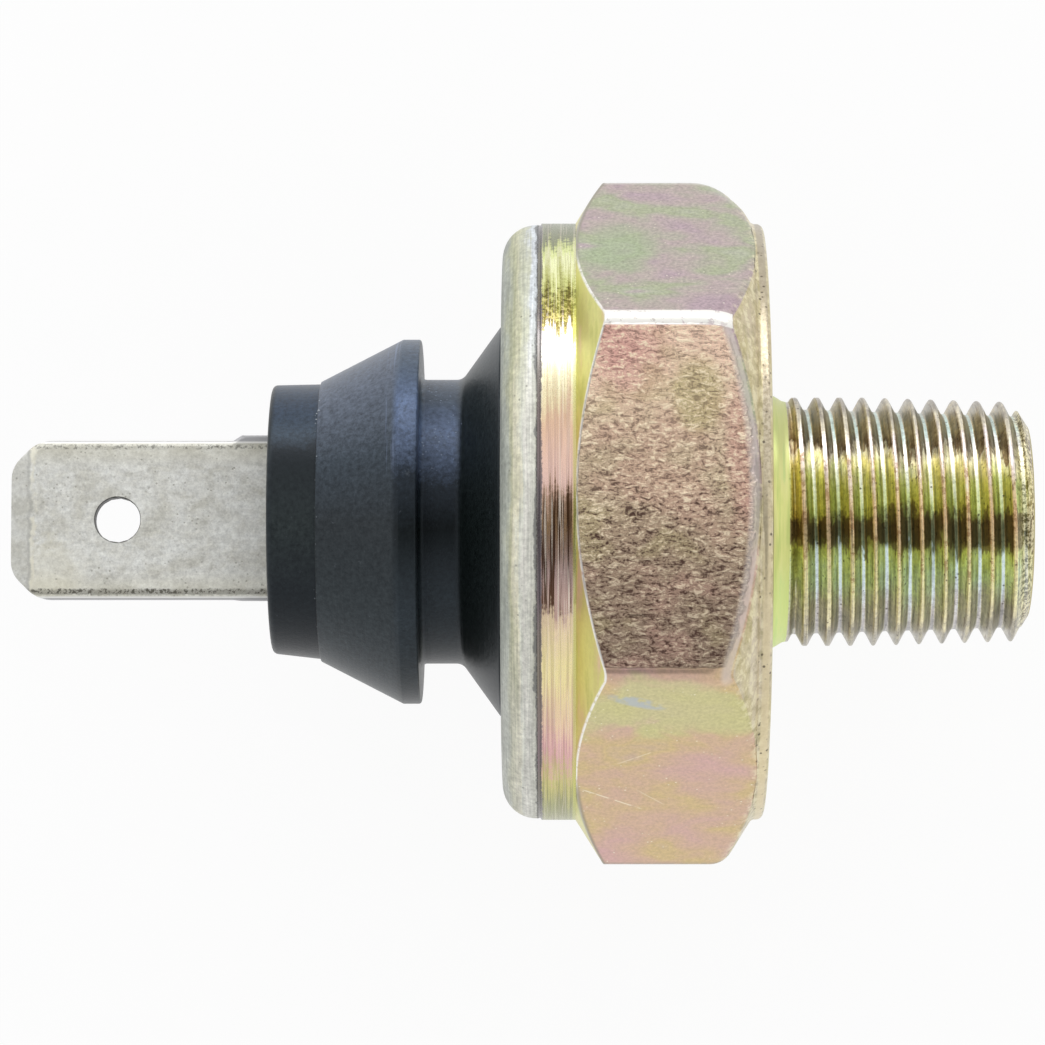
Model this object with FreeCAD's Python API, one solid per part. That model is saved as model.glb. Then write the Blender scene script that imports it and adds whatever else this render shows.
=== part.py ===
import FreeCAD, Part
import math
import os

# An oil pressure sender of the switch kind, lying on one flat of its hexagon.
# Millimetres. X runs along the axis with the thread towards +X, +Z is up, and the origin is on
# the axis at the end face of the hexagon that meets the engine.

# Hexagon and its turned ends
HEX_SIDES = 6
HEX_ACROSS_FLATS = 23.65
CORNER_ROUNDING = 0.6
HEX_CORNER_LEN = 6.225
COLLAR_DROP = 0.03
COLLAR_LEN = 0.45
COLLAR_BEVEL = 0.3
FRONT_CHAMFER_DEG = 54.0
FRONT_BEVEL = 0.75
BACK_CHAMFER_DEG = 58.0

# Turned ring and rolled rim
RING_DROP = 0.015
RING_LEN = 1.37
RIM_STEP = 0.06
RIM_LEN = 1.6
RIM_ROUNDING = 1.3
RIM_FACETS = 4
RIM_WALL = 1.05
RIM_BORE_R = 7.75

# Tapered thread spigot, one eighth inch pipe size with a taper of 1 in 16 on the diameter.
# It stands at the size of the thread's crests, and the ridges themselves are left off.
THREAD_MAJOR_R = 4.864
GAUGE_PLANE_X = 6.5
TAPER_ON_R = 1.0 / 32.0
SPIGOT_LEN = 10.5
NECK_LEN = 0.93
NECK_R = 5.05
END_CHAMFER_LEN = 0.6
END_CHAMFER_DROP = 0.94
PORT_R = 1.6
PORT_MOUTH_CHAMFER = 0.3

# Cup in the body and what it holds, from the rolled rim inwards
CUP_WALL = 1.32
CUP_CLEARANCE = 0.12
FLANGE_THICK = 2.2
GASKET_THICK = 0.8
GASKET_WIDTH = 2.2
SHOULDER_WIDTH = 1.95
PLATE_THICK = 0.8
PLATE_HOLE_R = 2.1
DISH_HEIGHT = 1.15
DISH_SLOPE_DEG = 50.0
DISH_CLEARANCE = 0.8
FILM_THICK = 0.2
FILM_CLEARANCE = 0.1
SEAL_HEIGHT = 1.2
SEAL_WIDTH = 1.5

# Plunger and moving contact
PLUNGER_CLEARANCE = 0.5
PLUNGER_FLANGE_THICK = 0.55
STEM_CLEARANCE = 0.3
CONTACT_CLEARANCE = 1.4
CONTACT_THICK = 0.6
CONTACT_BOSS_HEIGHT = 0.9

# Spring and its seat
SPRING_MEAN_R = 2.5
SPRING_WIRE_R = 0.25
SPRING_BOSS_CLEARANCE = 0.35
SPRING_TURNS = 4.0
SPRING_SIDES = 6
SPRING_LEN = 6.0
SEAT_THICK = 0.8
SEAT_CLEARANCE = 0.2

# Terminal head, outside
HEAD_RIM_CLEARANCE = 0.04
FLARE_LEN = 1.5
GROOVE_R = 5.63
GROOVE_LEN = 1.63
GROOVE_BEVEL = 0.35
LIP_R = 7.22
LIP_LEN = 0.71
LIP_BEVEL = 0.1
CONE_LEN = 3.25
CONE_STEP = 0.1
BOSS_ROOT_R = 5.45
BOSS_DRAFT = 0.2
BOSS_LEN = 2.04
BOSS_BEVEL = 0.15

# Terminal head, inside
CONTACT_ROOM_R = 6.0
CONTACT_ROOM_DEPTH = 2.5
SPRING_BORE_R = 3.5

# Blade terminal
BLADE_WIDTH = 6.3
BLADE_THICK = 0.8
BLADE_LEN = 10.28
ROOT_EXTRA_WIDTH = 0.25
ROOT_LEN = 1.22
TIP_CORNER = 1.05
TIP_BEVEL_LEN = 0.85
TIP_BEVEL_DEPTH = 0.2
EDGE_BEVEL_WIDTH = 0.22
EDGE_BEVEL_DEPTH = 0.12
BLADE_HOLE_R = 0.9
BLADE_HOLE_FROM_TIP = 4.24
ROOT_IN_HEAD = 1.9
SHANK_WIDTH = 4.2
ANCHOR_HOLE_R = 0.9
TENON_WIDTH = 2.4
PEEN_SPREAD = 0.4
PEEN_HEIGHT = 0.35

# Radii that follow from the sizes
flat_r = HEX_ACROSS_FLATS / 2
sharp_corner_r = flat_r / math.cos(math.pi / HEX_SIDES)
collar_r = flat_r - COLLAR_DROP
ring_r = flat_r - RING_DROP
cup_r = ring_r - CUP_WALL
stack_r = cup_r - CUP_CLEARANCE
chamber_r = cup_r - SHOULDER_WIDTH
film_r = chamber_r - FILM_CLEARANCE
dish_top_r = CONTACT_ROOM_R - DISH_CLEARANCE
dish_slope = math.radians(DISH_SLOPE_DEG)
dish_base_r = dish_top_r + DISH_HEIGHT / math.tan(dish_slope)
dish_knee = PLATE_THICK * math.tan(dish_slope / 2)
contact_r = CONTACT_ROOM_R - CONTACT_CLEARANCE
contact_boss_r = SPRING_MEAN_R - SPRING_WIRE_R - SPRING_BOSS_CLEARANCE
root_width = BLADE_WIDTH + ROOT_EXTRA_WIDTH

# Places along the axis that follow from the sizes
back_chamfer_len = (sharp_corner_r - ring_r) / math.tan(math.radians(BACK_CHAMFER_DEG))
hex_back_x = -HEX_CORNER_LEN - back_chamfer_len
ring_end_x = hex_back_x - RING_LEN
rim_face_x = ring_end_x - RIM_LEN
flange_top_x = rim_face_x + RIM_WALL
flange_base_x = flange_top_x + FLANGE_THICK
plate_top_x = flange_base_x + GASKET_THICK
shoulder_x = plate_top_x + PLATE_THICK
chamber_floor_x = shoulder_x + FILM_THICK + SEAL_HEIGHT
contact_x = plate_top_x - DISH_HEIGHT
contact_back_x = contact_x - CONTACT_THICK
seat_face_x = contact_back_x - SPRING_LEN
bore_end_x = seat_face_x - SEAT_THICK
flare_end_x = rim_face_x - FLARE_LEN
groove_end_x = flare_end_x - GROOVE_LEN
lip_end_x = groove_end_x - LIP_LEN
boss_root_x = lip_end_x - CONE_LEN
boss_end_x = boss_root_x - BOSS_LEN
root_end_x = boss_end_x + ROOT_IN_HEAD
blade_start_x = boss_end_x - ROOT_LEN
blade_tip_x = boss_end_x - BLADE_LEN
blade_hole_x = blade_tip_x + BLADE_HOLE_FROM_TIP

# How far a piece runs into its neighbour, or a cut past a face, so that they join cleanly
OVERRUN = 1.0

X_AXIS = FreeCAD.Vector(1, 0, 0)
Z_AXIS = FreeCAD.Vector(0, 0, 1)
ORIGIN = FreeCAD.Vector(0, 0, 0)


def corner_edge(before, here, after, kind, size):
    """Arc of a rounded corner or straight edge of a bevelled one."""
    back = (before - here).normalize()
    ahead = (after - here).normalize()
    if kind == "bevel":
        return Part.LineSegment(here + back * size, here + ahead * size)
    half = back.getAngle(ahead) / 2
    reach = size / math.tan(half)
    middle = (back + ahead).normalize() * (size / math.sin(half) - size)
    return Part.Arc(here + back * reach, here + middle, here + ahead * reach)


def rounded_edges(points, finishes):
    """Edges of a closed outline; each corner's finish is () or (kind, size)."""
    edges = []
    ends = []
    for i, here in enumerate(points):
        if not finishes[i]:
            ends.append((here, here))
            continue
        curve = corner_edge(points[i - 1], here, points[(i + 1) % len(points)], *finishes[i])
        edges.append(curve.toShape())
        ends.append((curve.StartPoint, curve.EndPoint))
    for i, (start, stop) in enumerate(ends):
        following = ends[(i + 1) % len(ends)][0]
        edges.append(Part.LineSegment(stop, following).toShape())
    return Part.sortEdges(edges)[0]


def turned(corners):
    """Solid turned about the X axis; a corner is (x, radius) or (x, radius, kind, size)."""
    points = [FreeCAD.Vector(corner[0], corner[1], 0) for corner in corners]
    finishes = [corner[2:] for corner in corners]
    outline = Part.Wire(rounded_edges(points, finishes))
    return Part.Face(outline).revolve(ORIGIN, X_AXIS, 360)


def drum(x_low, x_high, radius):
    """Plain cylinder along X between two places."""
    return Part.makeCylinder(radius, x_high - x_low, FreeCAD.Vector(x_low, 0, 0), X_AXIS)


def plate_between(x_low, x_high, width, thick):
    """Flat bar about the axis, wide along Y and thick along Z."""
    corner = FreeCAD.Vector(x_low, -width / 2, -thick / 2)
    return Part.makeBox(x_high - x_low, width, thick, corner)


def prism(points, direction):
    """Solid swept straight from a closed outline."""
    return Part.Face(Part.makePolygon(points + points[:1])).extrude(direction)


def hexagon_bar():
    """Hexagon bar with flats above and below and its six corners rounded."""
    corners = []
    for i in range(HEX_SIDES):
        turn = 2 * math.pi * i / HEX_SIDES
        y = sharp_corner_r * math.cos(turn)
        z = sharp_corner_r * math.sin(turn)
        corners.append(FreeCAD.Vector(hex_back_x, y, z))
    outline = Part.Wire(rounded_edges(corners, [("round", CORNER_ROUNDING)] * HEX_SIDES))
    return Part.Face(outline).extrude(X_AXIS * -hex_back_x)


def hexagon_blank():
    """Hexagon bar cut to the turned outline of its two ends."""
    cone_len = (sharp_corner_r - collar_r) / math.tan(math.radians(FRONT_CHAMFER_DEG))
    envelope = turned([
        (0, 0),
        (0, collar_r, "bevel", COLLAR_BEVEL),
        (-COLLAR_LEN, collar_r),
        (-COLLAR_LEN - cone_len, sharp_corner_r, "bevel", FRONT_BEVEL),
        (-HEX_CORNER_LEN, sharp_corner_r),
        (hex_back_x, ring_r),
        (hex_back_x, 0),
    ])
    return hexagon_bar().common(envelope)


def crest_radius(x):
    """Radius of the thread's crests at a place along the axis."""
    return THREAD_MAJOR_R + (GAUGE_PLANE_X - x) * TAPER_ON_R


def spigot():
    """Tapered spigot with a slightly thicker neck and a chamfered end."""
    chamfer_x = SPIGOT_LEN - END_CHAMFER_LEN
    chamfer_r = crest_radius(chamfer_x)
    return turned([
        (-OVERRUN, 0),
        (-OVERRUN, NECK_R),
        (NECK_LEN / 2, NECK_R),
        (NECK_LEN, crest_radius(NECK_LEN)),
        (chamfer_x, chamfer_r),
        (SPIGOT_LEN, chamfer_r - END_CHAMFER_DROP),
        (SPIGOT_LEN, 0),
    ])


def ring_and_rim():
    """Turned ring behind the hexagon and the rim rolled inwards over the head.

    The rim's rounding is a quarter circle made of narrow cones.
    """
    rim_r = ring_r - RIM_STEP
    outline = [
        (hex_back_x + OVERRUN, 0),
        (hex_back_x + OVERRUN, ring_r),
        (ring_end_x, ring_r),
        (ring_end_x, rim_r),
    ]
    for i in range(RIM_FACETS + 1):
        turn = math.pi / 2 * i / RIM_FACETS
        x = rim_face_x + RIM_ROUNDING * (1 - math.sin(turn))
        outline.append((x, rim_r - RIM_ROUNDING * (1 - math.cos(turn))))
    outline.append((rim_face_x, 0))
    return turned(outline)


def body_hollow():
    """Space inside the body: rim opening, cup, pressure chamber and port."""
    mouth_r = PORT_R + PORT_MOUTH_CHAMFER
    return turned([
        (rim_face_x - OVERRUN, 0),
        (rim_face_x - OVERRUN, RIM_BORE_R),
        (flange_top_x, RIM_BORE_R),
        (flange_top_x, cup_r),
        (shoulder_x, cup_r),
        (shoulder_x, chamber_r),
        (chamber_floor_x, chamber_r),
        (chamber_floor_x, PORT_R),
        (SPIGOT_LEN - PORT_MOUTH_CHAMFER, PORT_R),
        (SPIGOT_LEN, mouth_r),
        (SPIGOT_LEN + OVERRUN, mouth_r),
        (SPIGOT_LEN + OVERRUN, 0),
    ])


def hex_body():
    """Steel body in one piece: hexagon, ring, rolled rim, spigot and port."""
    return hexagon_blank().fuse(ring_and_rim()).fuse(spigot()).cut(body_hollow())


def cross_hole(x, radius):
    """Round hole through the blade's thickness, as a solid to cut away."""
    return Part.makeCylinder(radius, 2 * BLADE_THICK, FreeCAD.Vector(x, 0, -BLADE_THICK), Z_AXIS)


def blade():
    """Flat blade beyond the head: corners cut off, long edges and tip bevelled, one hole.

    It is what three bars have in common, one for each view: from above, the side and the end.
    """
    wide = BLADE_WIDTH / 2
    thick = BLADE_THICK / 2
    corner_x = blade_tip_x + TIP_CORNER
    corner_wide = wide - TIP_CORNER
    above = prism([
        FreeCAD.Vector(blade_start_x, -wide, -thick),
        FreeCAD.Vector(corner_x, -wide, -thick),
        FreeCAD.Vector(blade_tip_x, -corner_wide, -thick),
        FreeCAD.Vector(blade_tip_x, corner_wide, -thick),
        FreeCAD.Vector(corner_x, wide, -thick),
        FreeCAD.Vector(blade_start_x, wide, -thick),
    ], Z_AXIS * BLADE_THICK)
    bevel_x = blade_tip_x + TIP_BEVEL_LEN
    tip_thick = thick - TIP_BEVEL_DEPTH
    side = prism([
        FreeCAD.Vector(blade_start_x, -wide, -thick),
        FreeCAD.Vector(bevel_x, -wide, -thick),
        FreeCAD.Vector(blade_tip_x, -wide, -tip_thick),
        FreeCAD.Vector(blade_tip_x, -wide, tip_thick),
        FreeCAD.Vector(bevel_x, -wide, thick),
        FreeCAD.Vector(blade_start_x, -wide, thick),
    ], FreeCAD.Vector(0, BLADE_WIDTH, 0))
    edge_thick = thick - EDGE_BEVEL_DEPTH
    flat_wide = wide - EDGE_BEVEL_WIDTH
    end = prism([
        FreeCAD.Vector(blade_tip_x, -wide, -edge_thick),
        FreeCAD.Vector(blade_tip_x, -flat_wide, -thick),
        FreeCAD.Vector(blade_tip_x, flat_wide, -thick),
        FreeCAD.Vector(blade_tip_x, wide, -edge_thick),
        FreeCAD.Vector(blade_tip_x, wide, edge_thick),
        FreeCAD.Vector(blade_tip_x, flat_wide, thick),
        FreeCAD.Vector(blade_tip_x, -flat_wide, thick),
        FreeCAD.Vector(blade_tip_x, -wide, edge_thick),
    ], X_AXIS * (blade_start_x - blade_tip_x))
    return above.common(side).common(end).cut(cross_hole(blade_hole_x, BLADE_HOLE_R))


def spade_terminal():
    """Blade, its wider root, the shank held in the moulding, and the tenon peened on the seat."""
    root = plate_between(blade_start_x, root_end_x, root_width, BLADE_THICK)
    shank = plate_between(boss_end_x, bore_end_x, SHANK_WIDTH, BLADE_THICK)
    tenon = plate_between(root_end_x, seat_face_x, TENON_WIDTH, BLADE_THICK)
    peen_x = seat_face_x + PEEN_HEIGHT
    peen = plate_between(seat_face_x, peen_x, TENON_WIDTH + PEEN_SPREAD, BLADE_THICK + PEEN_SPREAD)
    anchor = cross_hole((root_end_x + bore_end_x) / 2, ANCHOR_HOLE_R)
    return blade().fuse(root).fuse(shank).fuse(tenon).fuse(peen).cut(anchor)


def terminal_head(terminal):
    """Black moulding round the blade's shank, hollow for the contact and the spring."""
    neck_r = RIM_BORE_R - HEAD_RIM_CLEARANCE
    outside = turned([
        (flange_base_x, 0),
        (flange_base_x, stack_r),
        (flange_top_x, stack_r),
        (flange_top_x, neck_r),
        (rim_face_x, neck_r),
        (flare_end_x, GROOVE_R, "bevel", GROOVE_BEVEL),
        (groove_end_x, GROOVE_R),
        (groove_end_x, LIP_R, "bevel", LIP_BEVEL),
        (lip_end_x, LIP_R),
        (boss_root_x, BOSS_ROOT_R + CONE_STEP),
        (boss_root_x, BOSS_ROOT_R),
        (boss_end_x, BOSS_ROOT_R - BOSS_DRAFT, "bevel", BOSS_BEVEL),
        (boss_end_x, 0),
    ])
    room_end_x = flange_base_x - CONTACT_ROOM_DEPTH
    inside = turned([
        (flange_base_x + OVERRUN, 0),
        (flange_base_x + OVERRUN, CONTACT_ROOM_R),
        (room_end_x, CONTACT_ROOM_R),
        (room_end_x, SPRING_BORE_R),
        (bore_end_x, SPRING_BORE_R),
        (bore_end_x, 0),
    ])
    return outside.cut(inside).cut(terminal)


def spring_seat(terminal):
    """Brass disc at the end of the spring bore, slotted for the blade's tenon."""
    return drum(bore_end_x, seat_face_x, SPRING_BORE_R - SEAT_CLEARANCE).cut(terminal)


def head_gasket():
    """Flat rubber ring between the earth plate and the head's flange."""
    ring = drum(flange_base_x, plate_top_x, stack_r)
    return ring.cut(drum(flange_base_x, plate_top_x, stack_r - GASKET_WIDTH))


def earth_plate():
    """Pressed ring on the body's shoulder, dished towards the head round the plunger's hole."""
    return turned([
        (shoulder_x, stack_r),
        (plate_top_x, stack_r),
        (plate_top_x, dish_base_r),
        (contact_x, dish_top_r),
        (contact_x, PLATE_HOLE_R),
        (contact_x + PLATE_THICK, PLATE_HOLE_R),
        (contact_x + PLATE_THICK, dish_top_r - dish_knee),
        (shoulder_x, dish_base_r - dish_knee),
    ])


def diaphragm():
    """Thin film disc over the seal ring."""
    return drum(shoulder_x, shoulder_x + FILM_THICK, film_r)


def seal_ring():
    """Square rubber ring squeezed between the chamber's floor and the film."""
    ring = drum(shoulder_x + FILM_THICK, chamber_floor_x, film_r)
    return ring.cut(drum(shoulder_x + FILM_THICK, chamber_floor_x, film_r - SEAL_WIDTH))


def plunger():
    """Insulating pusher: a flange on the film and a stem through the earth plate."""
    flange_r = dish_top_r - dish_knee - PLUNGER_CLEARANCE
    flange_x = shoulder_x - PLUNGER_FLANGE_THICK
    flange = drum(flange_x, shoulder_x, flange_r)
    return flange.fuse(drum(contact_x, flange_x, PLATE_HOLE_R - STEM_CLEARANCE))


def moving_contact():
    """Contact disc with a boss that keeps the spring in the middle."""
    disc = drum(contact_back_x, contact_x, contact_r)
    return disc.fuse(drum(contact_back_x - CONTACT_BOSS_HEIGHT, contact_back_x, contact_boss_r))


def contact_spring():
    """Wire coil between the moving contact and its seat, with a many-sided section for the wire."""
    rise = SPRING_LEN - 2 * SPRING_WIRE_R
    path = Part.makeHelix(rise / SPRING_TURNS, rise, SPRING_MEAN_R)
    section = []
    for i in range(SPRING_SIDES + 1):
        turn = 2 * math.pi * (i + 0.5) / SPRING_SIDES
        reach = SPRING_MEAN_R + SPRING_WIRE_R * math.cos(turn)
        section.append(FreeCAD.Vector(reach, 0, SPRING_WIRE_R * math.sin(turn)))
    coil = Part.Wire(path).makePipeShell([Part.makePolygon(section)], True, True)
    coil.rotate(ORIGIN, FreeCAD.Vector(0, 1, 0), -90)
    coil.translate(FreeCAD.Vector(contact_back_x - SPRING_WIRE_R, 0, 0))
    return coil


def main():
    """Build each piece and write it to its own file."""
    terminal = spade_terminal()
    pieces = {
        "hex_body": hex_body(),
        "terminal_head": terminal_head(terminal),
        "spade_terminal": terminal,
        "spring_seat": spring_seat(terminal),
        "head_gasket": head_gasket(),
        "earth_plate": earth_plate(),
        "diaphragm": diaphragm(),
        "seal_ring": seal_ring(),
        "plunger": plunger(),
        "moving_contact": moving_contact(),
        "contact_spring": contact_spring(),
    }
    os.makedirs("parts", exist_ok=True)
    for name, shape in pieces.items():
        print(name, shape.ShapeType, len(shape.Solids), shape.isValid(), round(shape.Volume, 2))
        shape.exportStep("parts/" + name + ".step")


main()
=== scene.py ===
"""Looks of an oil pressure sender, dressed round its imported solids.

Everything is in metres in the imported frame: X runs along the axis with the thread towards +X,
+Z is up, and the sender lies on one flat of its hexagon. Sizes are written in millimetres and
turned into metres when a mesh is made.
"""

import logging
import math
from dataclasses import dataclass
from enum import Enum
from typing import Callable

import bpy
import numpy as np
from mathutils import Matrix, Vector

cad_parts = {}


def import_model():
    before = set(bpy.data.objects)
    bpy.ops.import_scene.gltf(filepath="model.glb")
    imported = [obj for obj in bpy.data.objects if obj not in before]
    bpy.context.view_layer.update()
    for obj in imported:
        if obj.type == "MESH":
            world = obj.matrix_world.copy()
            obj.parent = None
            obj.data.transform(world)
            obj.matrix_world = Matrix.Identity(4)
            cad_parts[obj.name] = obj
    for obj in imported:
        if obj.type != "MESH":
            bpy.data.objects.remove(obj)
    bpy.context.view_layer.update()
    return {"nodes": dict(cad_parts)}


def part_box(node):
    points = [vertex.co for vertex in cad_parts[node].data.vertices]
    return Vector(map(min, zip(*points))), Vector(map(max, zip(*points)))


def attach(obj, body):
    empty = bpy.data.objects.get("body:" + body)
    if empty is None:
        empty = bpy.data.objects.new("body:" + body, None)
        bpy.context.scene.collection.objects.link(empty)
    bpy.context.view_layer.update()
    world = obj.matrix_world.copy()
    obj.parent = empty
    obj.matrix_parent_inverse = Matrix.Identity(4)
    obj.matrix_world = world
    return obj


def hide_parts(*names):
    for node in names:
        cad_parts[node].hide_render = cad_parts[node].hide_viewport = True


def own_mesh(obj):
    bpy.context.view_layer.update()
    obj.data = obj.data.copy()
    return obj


MM = 0.001
LOG = logging.getLogger("oil_pressure_sender")

# Decimal places of a millimetre to which points that are welded agree
WELD_DIGITS = 5

# Width of the camera's film in millimetres
FILM_WIDTH = 36.0

# How far the camera leans from straight above, towards -Y
LEAN = math.radians(4.7)


class Body(Enum):
    """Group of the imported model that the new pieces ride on."""

    HOUSING = "housing"


class Slot(Enum):
    """Material slots of the record, one of which each new piece keeps."""

    STEEL = "chromated_steel"
    MOULDING = "black_moulding"
    TIN = "tinned_brass"
    SPRING = "spring_wire"


def shade(red: float, green: float, blue: float) -> tuple[float, float, float, float]:
    """Linear colour of a paint-chart colour given in steps of 0 to 255.

    Args:
        red, green, blue: the colour as it should look on a screen.

    Returns:
        The same colour as light, with full cover as its fourth number.
    """
    parts = np.array([red, green, blue]) / 255.0
    light = np.where(parts <= 0.04045, parts / 12.92, ((parts + 0.055) / 1.055) ** 2.4)
    return (float(light[0]), float(light[1]), float(light[2]), 1.0)


# Materials


def operator(operation: str, swapped: bool = False) -> Callable[["Wire", "float | Wire"], "Wire"]:
    """Method of a wire that adds one step of arithmetic.

    Args:
        operation: the Math node's operation.
        swapped: whether the other value comes first, as in a reflected form.

    Returns:
        The method.
    """

    def method(self: "Wire", other: "float | Wire") -> "Wire":
        """Result of the operation on the two values."""
        return self.graph.sum_of(operation, *((other, self) if swapped else (self, other)))

    return method


class Link:
    """What leaves one node of a material on its way to another."""

    def __init__(self, graph: "Graph", socket: bpy.types.NodeSocket) -> None:
        """Keep the graph and the output socket."""
        self.graph = graph
        self.socket = socket


class Wire(Link):
    """A number on its way through a material, written as ordinary arithmetic."""

    __add__, __radd__ = operator("ADD"), operator("ADD", swapped=True)
    __sub__, __rsub__ = operator("SUBTRACT"), operator("SUBTRACT", swapped=True)
    __mul__, __rmul__ = operator("MULTIPLY"), operator("MULTIPLY", swapped=True)
    __truediv__, __rtruediv__ = operator("DIVIDE"), operator("DIVIDE", swapped=True)

    def size(self) -> "Wire":
        """The number without its sign."""
        return self.graph.sum_of("ABSOLUTE", self)

    def root(self) -> "Wire":
        """Square root."""
        return self.graph.sum_of("SQRT", self)

    def rise(self, low: float, high: float) -> "Wire":
        """Smooth climb from 0 at low to 1 at high; high may be the smaller of the two."""
        inputs = {"Value": self, "From Min": min(low, high), "From Max": max(low, high)}
        if low > high:
            inputs |= {"To Min": 1.0, "To Max": 0.0}
        settings = {"interpolation_type": "SMOOTHSTEP"}
        return Wire(self.graph, self.graph.node("ShaderNodeMapRange", settings, inputs).outputs[0])


class Tone(Link):
    """A colour on its way through a material, which further colours are laid over."""

    def lay(self, share: "float | Wire", *over: object) -> None:
        """Cover a share of it with a colour: three steps of 0 to 255, or one tone."""
        self.socket = self.graph.mix(share, self, shade(*over) if len(over) == 3 else over[0]).socket

    def grain(self, grain: Wire, depth: "float | Wire") -> None:
        """Make it a little darker and lighter by a fine grain around one half."""
        inputs = {0: self, "Scale": 1.0 + (grain - 0.5) * 2.0 * depth}
        self.socket = self.graph.node("ShaderNodeVectorMath", {"operation": "SCALE"}, inputs).outputs[0]


Number = float | Wire


class Graph:
    """Node tree of a material or a world, with short ways to write what the finishes need."""

    def __init__(self, owner: bpy.types.Material | bpy.types.World, output: str) -> None:
        """Start an empty tree that ends in a node of the output kind."""
        owner.use_nodes = True
        self.owner = owner
        self.tree = owner.node_tree
        self.tree.nodes.clear()
        self.output = self.tree.nodes.new(output)

    def feed(self, socket: bpy.types.NodeSocket, value: object) -> None:
        """Connect a wire, tone or socket to an input, or write a plain value on it."""
        if isinstance(value, Link):
            value = value.socket
        if isinstance(value, bpy.types.NodeSocket):
            self.tree.links.new(value, socket)
        else:
            socket.default_value = value

    def node(self, kind: str, settings: dict | None = None, inputs: dict | None = None) -> bpy.types.Node:
        """Any node, with its settings made first and its inputs fed after.

        Args:
            kind: the node's type.
            settings: its properties by name.
            inputs: its sockets by name or number, each a value, a wire, a tone or a socket.

        Returns:
            The new node.
        """
        made = self.tree.nodes.new(kind)
        for key, value in (settings or {}).items():
            setattr(made, key, value)
        for key, value in (inputs or {}).items():
            self.feed(made.inputs[key], value)
        return made

    def close(self, last: bpy.types.Node) -> None:
        """Lead the last node to the tree's output."""
        self.tree.links.new(last.outputs[0], self.output.inputs[0])

    def sum_of(self, operation: str, *values: Number) -> Wire:
        """One step of arithmetic on numbers and wires."""
        made = self.node("ShaderNodeMath", {"operation": operation}, dict(enumerate(values)))
        return Wire(self, made.outputs[0])

    def mix(self, share: Number, first: object, second: object) -> Tone:
        """Colour between two others; share 0 is the first."""
        settings = {"data_type": "RGBA", "blend_type": "MIX", "clamp_factor": True}
        return Tone(self, self.node("ShaderNodeMix", settings, {0: share, 6: first, 7: second}).outputs[2])


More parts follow.
